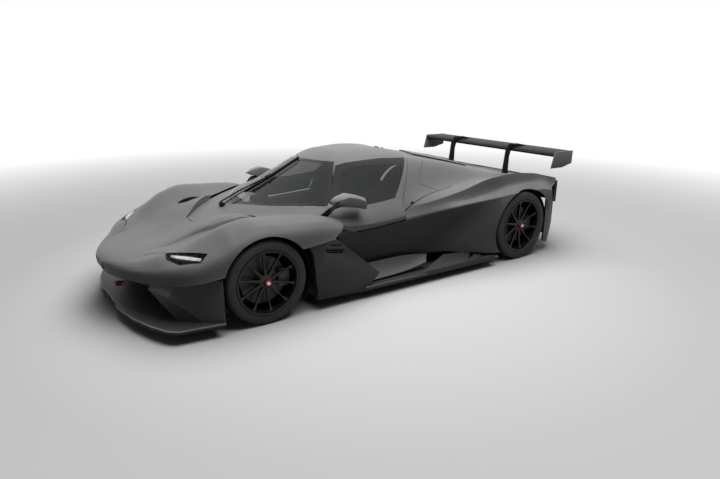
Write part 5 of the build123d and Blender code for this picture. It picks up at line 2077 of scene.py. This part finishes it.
@dataclass
class Cabin:
    """Seats with cushions and harness."""

    seat_middle: float = 235
    pressure: float = 4.0
    reach: float = 0.012
    voxel: float = 0.008
    frames: int = 20
    # half the webbing's width and half its thickness
    webbing: Pair = (24, 1.5)
    # x, z and y from the seat's middle along one shoulder run and one lap run
    shoulder_run: tuple[Triple, ...] = (
        (-330, 770, 48), (-292, 742, 48), (-238, 702, 52), (-150, 540, 60), (-92, 420, 52),
        (-10, 320, 30), (40, 302, 12),
    )
    lap_run: tuple[Triple, ...] = (
        (-70, 270, 196), (-20, 304, 150), (24, 308, 80), (44, 304, 14),
    )
    base_line: Outline = ((332, 262), (300, 268), (200, 262), (100, 244), (20, 246), (-20, 258))
    back_line: Outline = ((-92, 330), (-130, 420), (-178, 530), (-228, 650), (-262, 720))
    head_line: Outline = ((-268, 738), (-286, 780), (-296, 808))

    def seat_shell(self) -> Piece:
        """A bucket shell swept up the seat's profile."""
        ribs = [
            (390, 250, 190), (300, 226, 205), (100, 186, 212), (-40, 198, 214), (-124, 300, 220),
            (-206, 470, 226), (-268, 660, 226), (-306, 780, 150), (-312, 812, 120),
        ]
        across = 13
        rings = []
        for x, z, half in ribs:
            ring = []
            for a in np.linspace(-1, 1, across):
                rise = 70 * abs(a) ** 3
                ring.append(
                    (
                        x + rise * (0.6 if z > 240 else 0.1), self.seat_middle + a * half,
                        z + rise * (0.25 if z > 300 else 1.0),
                    )
                )
            rings.append(ring)
        made = new_object("seat_shell", in_metres(rings), grid_faces(len(rings), across))
        modified(made, "SUBSURF", levels=2, render_levels=2)
        return thickened(made, 0.012)

    def cushion(self, name: str, line: Sequence[Pair], half: float, thick: float) -> Piece:
        """A crowned pad swept along a side-view line.

        Args:
            name: The pad's name.
            line: The pad's middle line in side view.
            half: Half its width.
            thick: Half its thickness.

        Returns:
            The pad, swollen where the scene isn't a quick one.
        """
        rings = []
        last = len(line) - 1
        for i, (x, z) in enumerate(line):
            ahead = heading(line, i)
            lift = np.array((-ahead[1], ahead[0])) * (-1 if ahead[0] < 0 else 1)
            pull = 0.72 if i in (0, last) else 1.0
            ring = []
            for a in circle(32):
                c, n = math.cos(a), math.sin(a)
                y = half * (0.96 if i in (0, last) else 1.0) * math.copysign(abs(c) ** 0.45, c)
                t = thick * pull * math.copysign(abs(n) ** 0.7, n)
                ring.append((x + lift[0] * t, self.seat_middle + y, z + lift[1] * t))
            rings.append(ring)
        made = hull(name, rings)
        modified(made, "SUBSURF", levels=1, render_levels=1)
        return self.swollen(made) if FINE else made

    def swollen(self, pad: Piece) -> Piece:
        """Lets cloth swell a pad a little, and keeps the result.

        Args:
            pad: The pad.

        Returns:
            The same pad.
        """
        modified(pad, "REMESH", mode="VOXEL", voxel_size=self.voxel)
        start = [vertex.co.copy() for vertex in pad.data.vertices]
        cloth = pad.modifiers.new("swell", "CLOTH")
        cloth.settings.use_pressure = True
        cloth.settings.uniform_pressure_force = self.pressure
        cloth.settings.effector_weights.gravity = 0.0
        cloth.settings.quality = 4
        cloth.point_cache.frame_start, cloth.point_cache.frame_end = 1, self.frames
        for step in range(1, self.frames + 1):
            bpy.context.scene.frame_set(step)
        baked(pad)
        bpy.context.scene.frame_set(1)
        for vertex, home in zip(pad.data.vertices, start):
            shift = vertex.co - home
            if shift.length > self.reach:
                vertex.co = home + shift.normalized() * self.reach
        return modified(pad, "SUBSURF", levels=1, render_levels=1)

    def harness(self) -> Piece:
        """Shoulder and lap webbing with its buckle."""
        half, thick = self.webbing
        corners = ((-half, -thick), (half, -thick), (half, thick), (-half, thick))
        straps = []
        for run, side in itertools.product((self.shoulder_run, self.lap_run), (-1, 1)):
            line = [Vector((x, self.seat_middle + side * y, z)) for x, z, y in run]
            rings = []
            for i, here in enumerate(line):
                ahead = course(line, i)
                flat = Vector((0, 1, 0)) if abs(ahead.y) < 0.7 else Vector((1, 0, 0.3)).normalized()
                flat = (flat - ahead * flat.dot(ahead)).normalized()
                lift = flat.cross(ahead).normalized()
                rings.append([tuple(here + flat * a + lift * b) for a, b in corners])
            straps.append(hull("strap", rings))
        return joined(straps, "harness_webbing")

    def build(self) -> None:
        """Makes the cabin's pieces."""
        shell = self.seat_shell()
        dressed(both(shell, "seat_shells"), Paint.SHELL, ["seats"], 40)
        for name, line, half, thick in (
            ("seat_base", self.base_line, 150, 24), ("seat_back", self.back_line, 150, 22),
            ("seat_head", self.head_line, 86, 18),
        ):
            pad = self.cushion(f"{name}_left", line, half, thick)
            other = mirror_image(pad, f"{name}_right")
            for piece in (pad, other):
                dressed(piece, Paint.SEAT, ["seats"], 60)
        webbing = both(self.harness(), "harness_webbing")
        dressed(webbing, Paint.WEBBING, ["seats"])
        low, high = self.seat_middle - 26, self.seat_middle + 26
        buckle = prism("buckle", [(18, 300), (66, 300), (66, 316), (18, 316)], low, high, "side")
        bevelled(buckle, 0.004)
        dressed(both(buckle, "harness_buckles"), Paint.STEEL, ["seats"])


# ------------------------------------------------------------------ stage


@dataclass
class Stage:
    """Camera, floor, lights and backdrop."""

    place: Triple = (3.0885, 4.6372, 1.8674)
    yaw: float = 4.0976
    pitch: float = -0.2892
    roll: float = 0.0061
    lens: float = 28.554
    floor_tone: Triple = (0.22, 0.22, 0.22)
    floor_shade: Triple = (0.05, 0.05, 0.05)
    ambient: float = 0.04
    # distances from the middle over which the floor fades to the background
    fade: Pair = (3.2, 9.0)
    floor_radius: float = 24
    floor_corners: int = 96

    def camera(self) -> None:
        """The camera at the view's place and angle."""
        data = bpy.data.cameras.new("view")
        data.lens = self.lens
        data.sensor_width = 36.0
        data.sensor_fit = "HORIZONTAL"
        data.clip_end = 200.0
        made = linked("view", data)
        level = math.cos(self.pitch)
        ahead = Vector((level * math.cos(self.yaw), level * math.sin(self.yaw), math.sin(self.pitch)))
        right = ahead.cross(Vector((0, 0, 1))).normalized()
        up = right.cross(ahead)
        turned_right = right * math.cos(self.roll) + up * math.sin(self.roll)
        turned_up = up * math.cos(self.roll) - right * math.sin(self.roll)
        turned = Matrix((turned_right, turned_up, -ahead)).transposed().to_4x4()
        made.matrix_world = Matrix.Translation(self.place) @ turned
        bpy.context.scene.camera = made

    def seen(self, graph: Graph) -> Channel:
        """Tells what is looked at from the light that reaches surfaces.

        Args:
            graph: The graph that asks.

        Returns:
            1 where the camera, a mirror or glass looks, otherwise 0.
        """
        path = graph.node("ShaderNodeLightPath")
        rays = [
            Channel(graph, path.outputs[f"Is {kind} Ray"])
            for kind in ("Camera", "Glossy", "Transmission")
        ]
        return graph.math("MAXIMUM", graph.math("MAXIMUM", rays[0], rays[1]), rays[2])

    def world(self) -> None:
        """White surroundings with a softer ambient level."""
        world = bpy.data.worlds.new("studio")
        bpy.context.scene.world = world
        world.use_nodes = True
        graph = Graph(world.node_tree)
        level = self.seen(graph) * (1.0 - self.ambient) + self.ambient
        back = graph.node(
            "ShaderNodeBackground", None, {"Color": (1.0, 1.0, 1.0, 1.0), "Strength": level},
        )
        graph.node(
            "ShaderNodeOutputWorld", None, {"Surface": Channel(graph, back.outputs["Background"])},
        )

    def floor(self) -> None:
        """A wide pale floor."""
        reach, count = self.floor_radius, self.floor_corners
        points = [(reach * math.cos(a), reach * math.sin(a), 0.0) for a in circle(count)]
        made = new_object("studio_floor", points, [list(range(count))])
        material = bpy.data.materials.new("pale_floor")
        material.use_nodes = True
        graph = Graph(material.node_tree)
        seen = self.seen(graph)
        inputs = {"Base Color": graph.mix(seen, self.floor_shade, self.floor_tone), "Roughness": 0.8}
        shader = graph.node("ShaderNodeBsdfPrincipled", None, inputs)
        white = graph.node("ShaderNodeEmission", None, {"Color": (1.0, 1.0, 1.0, 1.0), "Strength": 1.0})
        radius = graph.node("ShaderNodeVectorMath", {"operation": "LENGTH"}, {0: graph.place()})
        near, far = self.fade
        share = (Channel(graph, radius.outputs["Value"]) - near) * (1.0 / (far - near))
        share = graph.math("MINIMUM", graph.math("MAXIMUM", share, 0.0), 1.0) * seen
        mixed = graph.node(
            "ShaderNodeMixShader", None,
            {
                "Fac": share, 1: Channel(graph, shader.outputs["BSDF"]),
                2: Channel(graph, white.outputs["Emission"]),
            },
        )
        graph.node(
            "ShaderNodeOutputMaterial", None, {"Surface": Channel(graph, mixed.outputs["Shader"])},
        )
        made.data.materials.append(material)

    def lamp(self, name: str, place: Triple, target: Triple, size: Pair, power: float) -> None:
        """One soft rectangular lamp.

        Args:
            name: Its name.
            place: Where it hangs.
            target: Where it points.
            size: Its width and height in metres.
            power: Watts.
        """
        data = bpy.data.lights.new(name, "AREA")
        data.shape = "RECTANGLE"
        data.size, data.size_y = size
        data.energy = power
        made = linked(name, data)
        made.location = place
        made.visible_glossy = False
        made.rotation_euler = (Vector(target) - Vector(place)).to_track_quat("-Z", "Y").to_euler()

    def build(self) -> None:
        """Sets the whole stage."""
        self.camera()
        self.world()
        self.floor()
        self.lamp("overhead", (-0.4, 0.3, 5.5), (0.0, 0.0, 0.0), (7.0, 4.6), 1450)
        bpy.context.scene.view_settings.view_transform = "Standard"


# ------------------------------------------------------------------ frame pieces that stay

KEPT = {
    Paint.SHELL: ("tub", "roll_hoop"),
    Paint.SATIN_DARK: ("floor", "diffuser"),
    Paint.MESH: ("tail_mesh",),
    Paint.TAIL_RED: ("tail_lamps",),
    Paint.EXHAUST: ("exhausts",),
    Paint.TRIM: ("steering_wheel", "dashboard"),
    Paint.CAST: ("engine", "rear_uprights", "knuckle_left", "knuckle_right"),
    Paint.STEEL: (
        "hinge_ears", "body_brackets", "canopy_arms", "front_wishbones", "rear_wishbones",
        "half_shaft_left", "half_shaft_right",
    ),
    Paint.CALIPER: ("rear_calipers", "caliper_front_left", "caliper_front_right"),
    Paint.DISC: ("disc_front_left", "disc_front_right", "disc_rear_left", "disc_rear_right"),
}


def finish_kept() -> None:
    """Gives every frame piece that stays its own finish."""
    for paint, names in KEPT.items():
        for name in names:
            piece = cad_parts[name]
            piece.data.materials.clear()
            piece.data.materials.append(paint.material())
            LOG.info("%s stays, in %s", name, paint.value.name)


def main() -> None:
    """Builds the car's pieces in order, then the stage."""
    logging.basicConfig(level=logging.INFO, format="%(name)s: %(message)s")
    Cabin().build()
    front = FrontBody()
    front.clam()
    front.lamps()
    front.flange(Skin(CANOPY_ROWS, Canopy().soft))
    RearBody().build()
    Canopy().build()
    Aero().build()
    for side, hand in ((1, "left"), (-1, "right")):
        Wheel(*FRONT_WHEEL, Body[f"FRONT_{hand.upper()}"], f"front_{hand}", side).build()
        Wheel(*REAR_WHEEL, Body[f"REAR_{hand.upper()}"], f"rear_{hand}", side).build()
    finish_kept()
    Stage().build()


if __name__ == "__main__":
    main()
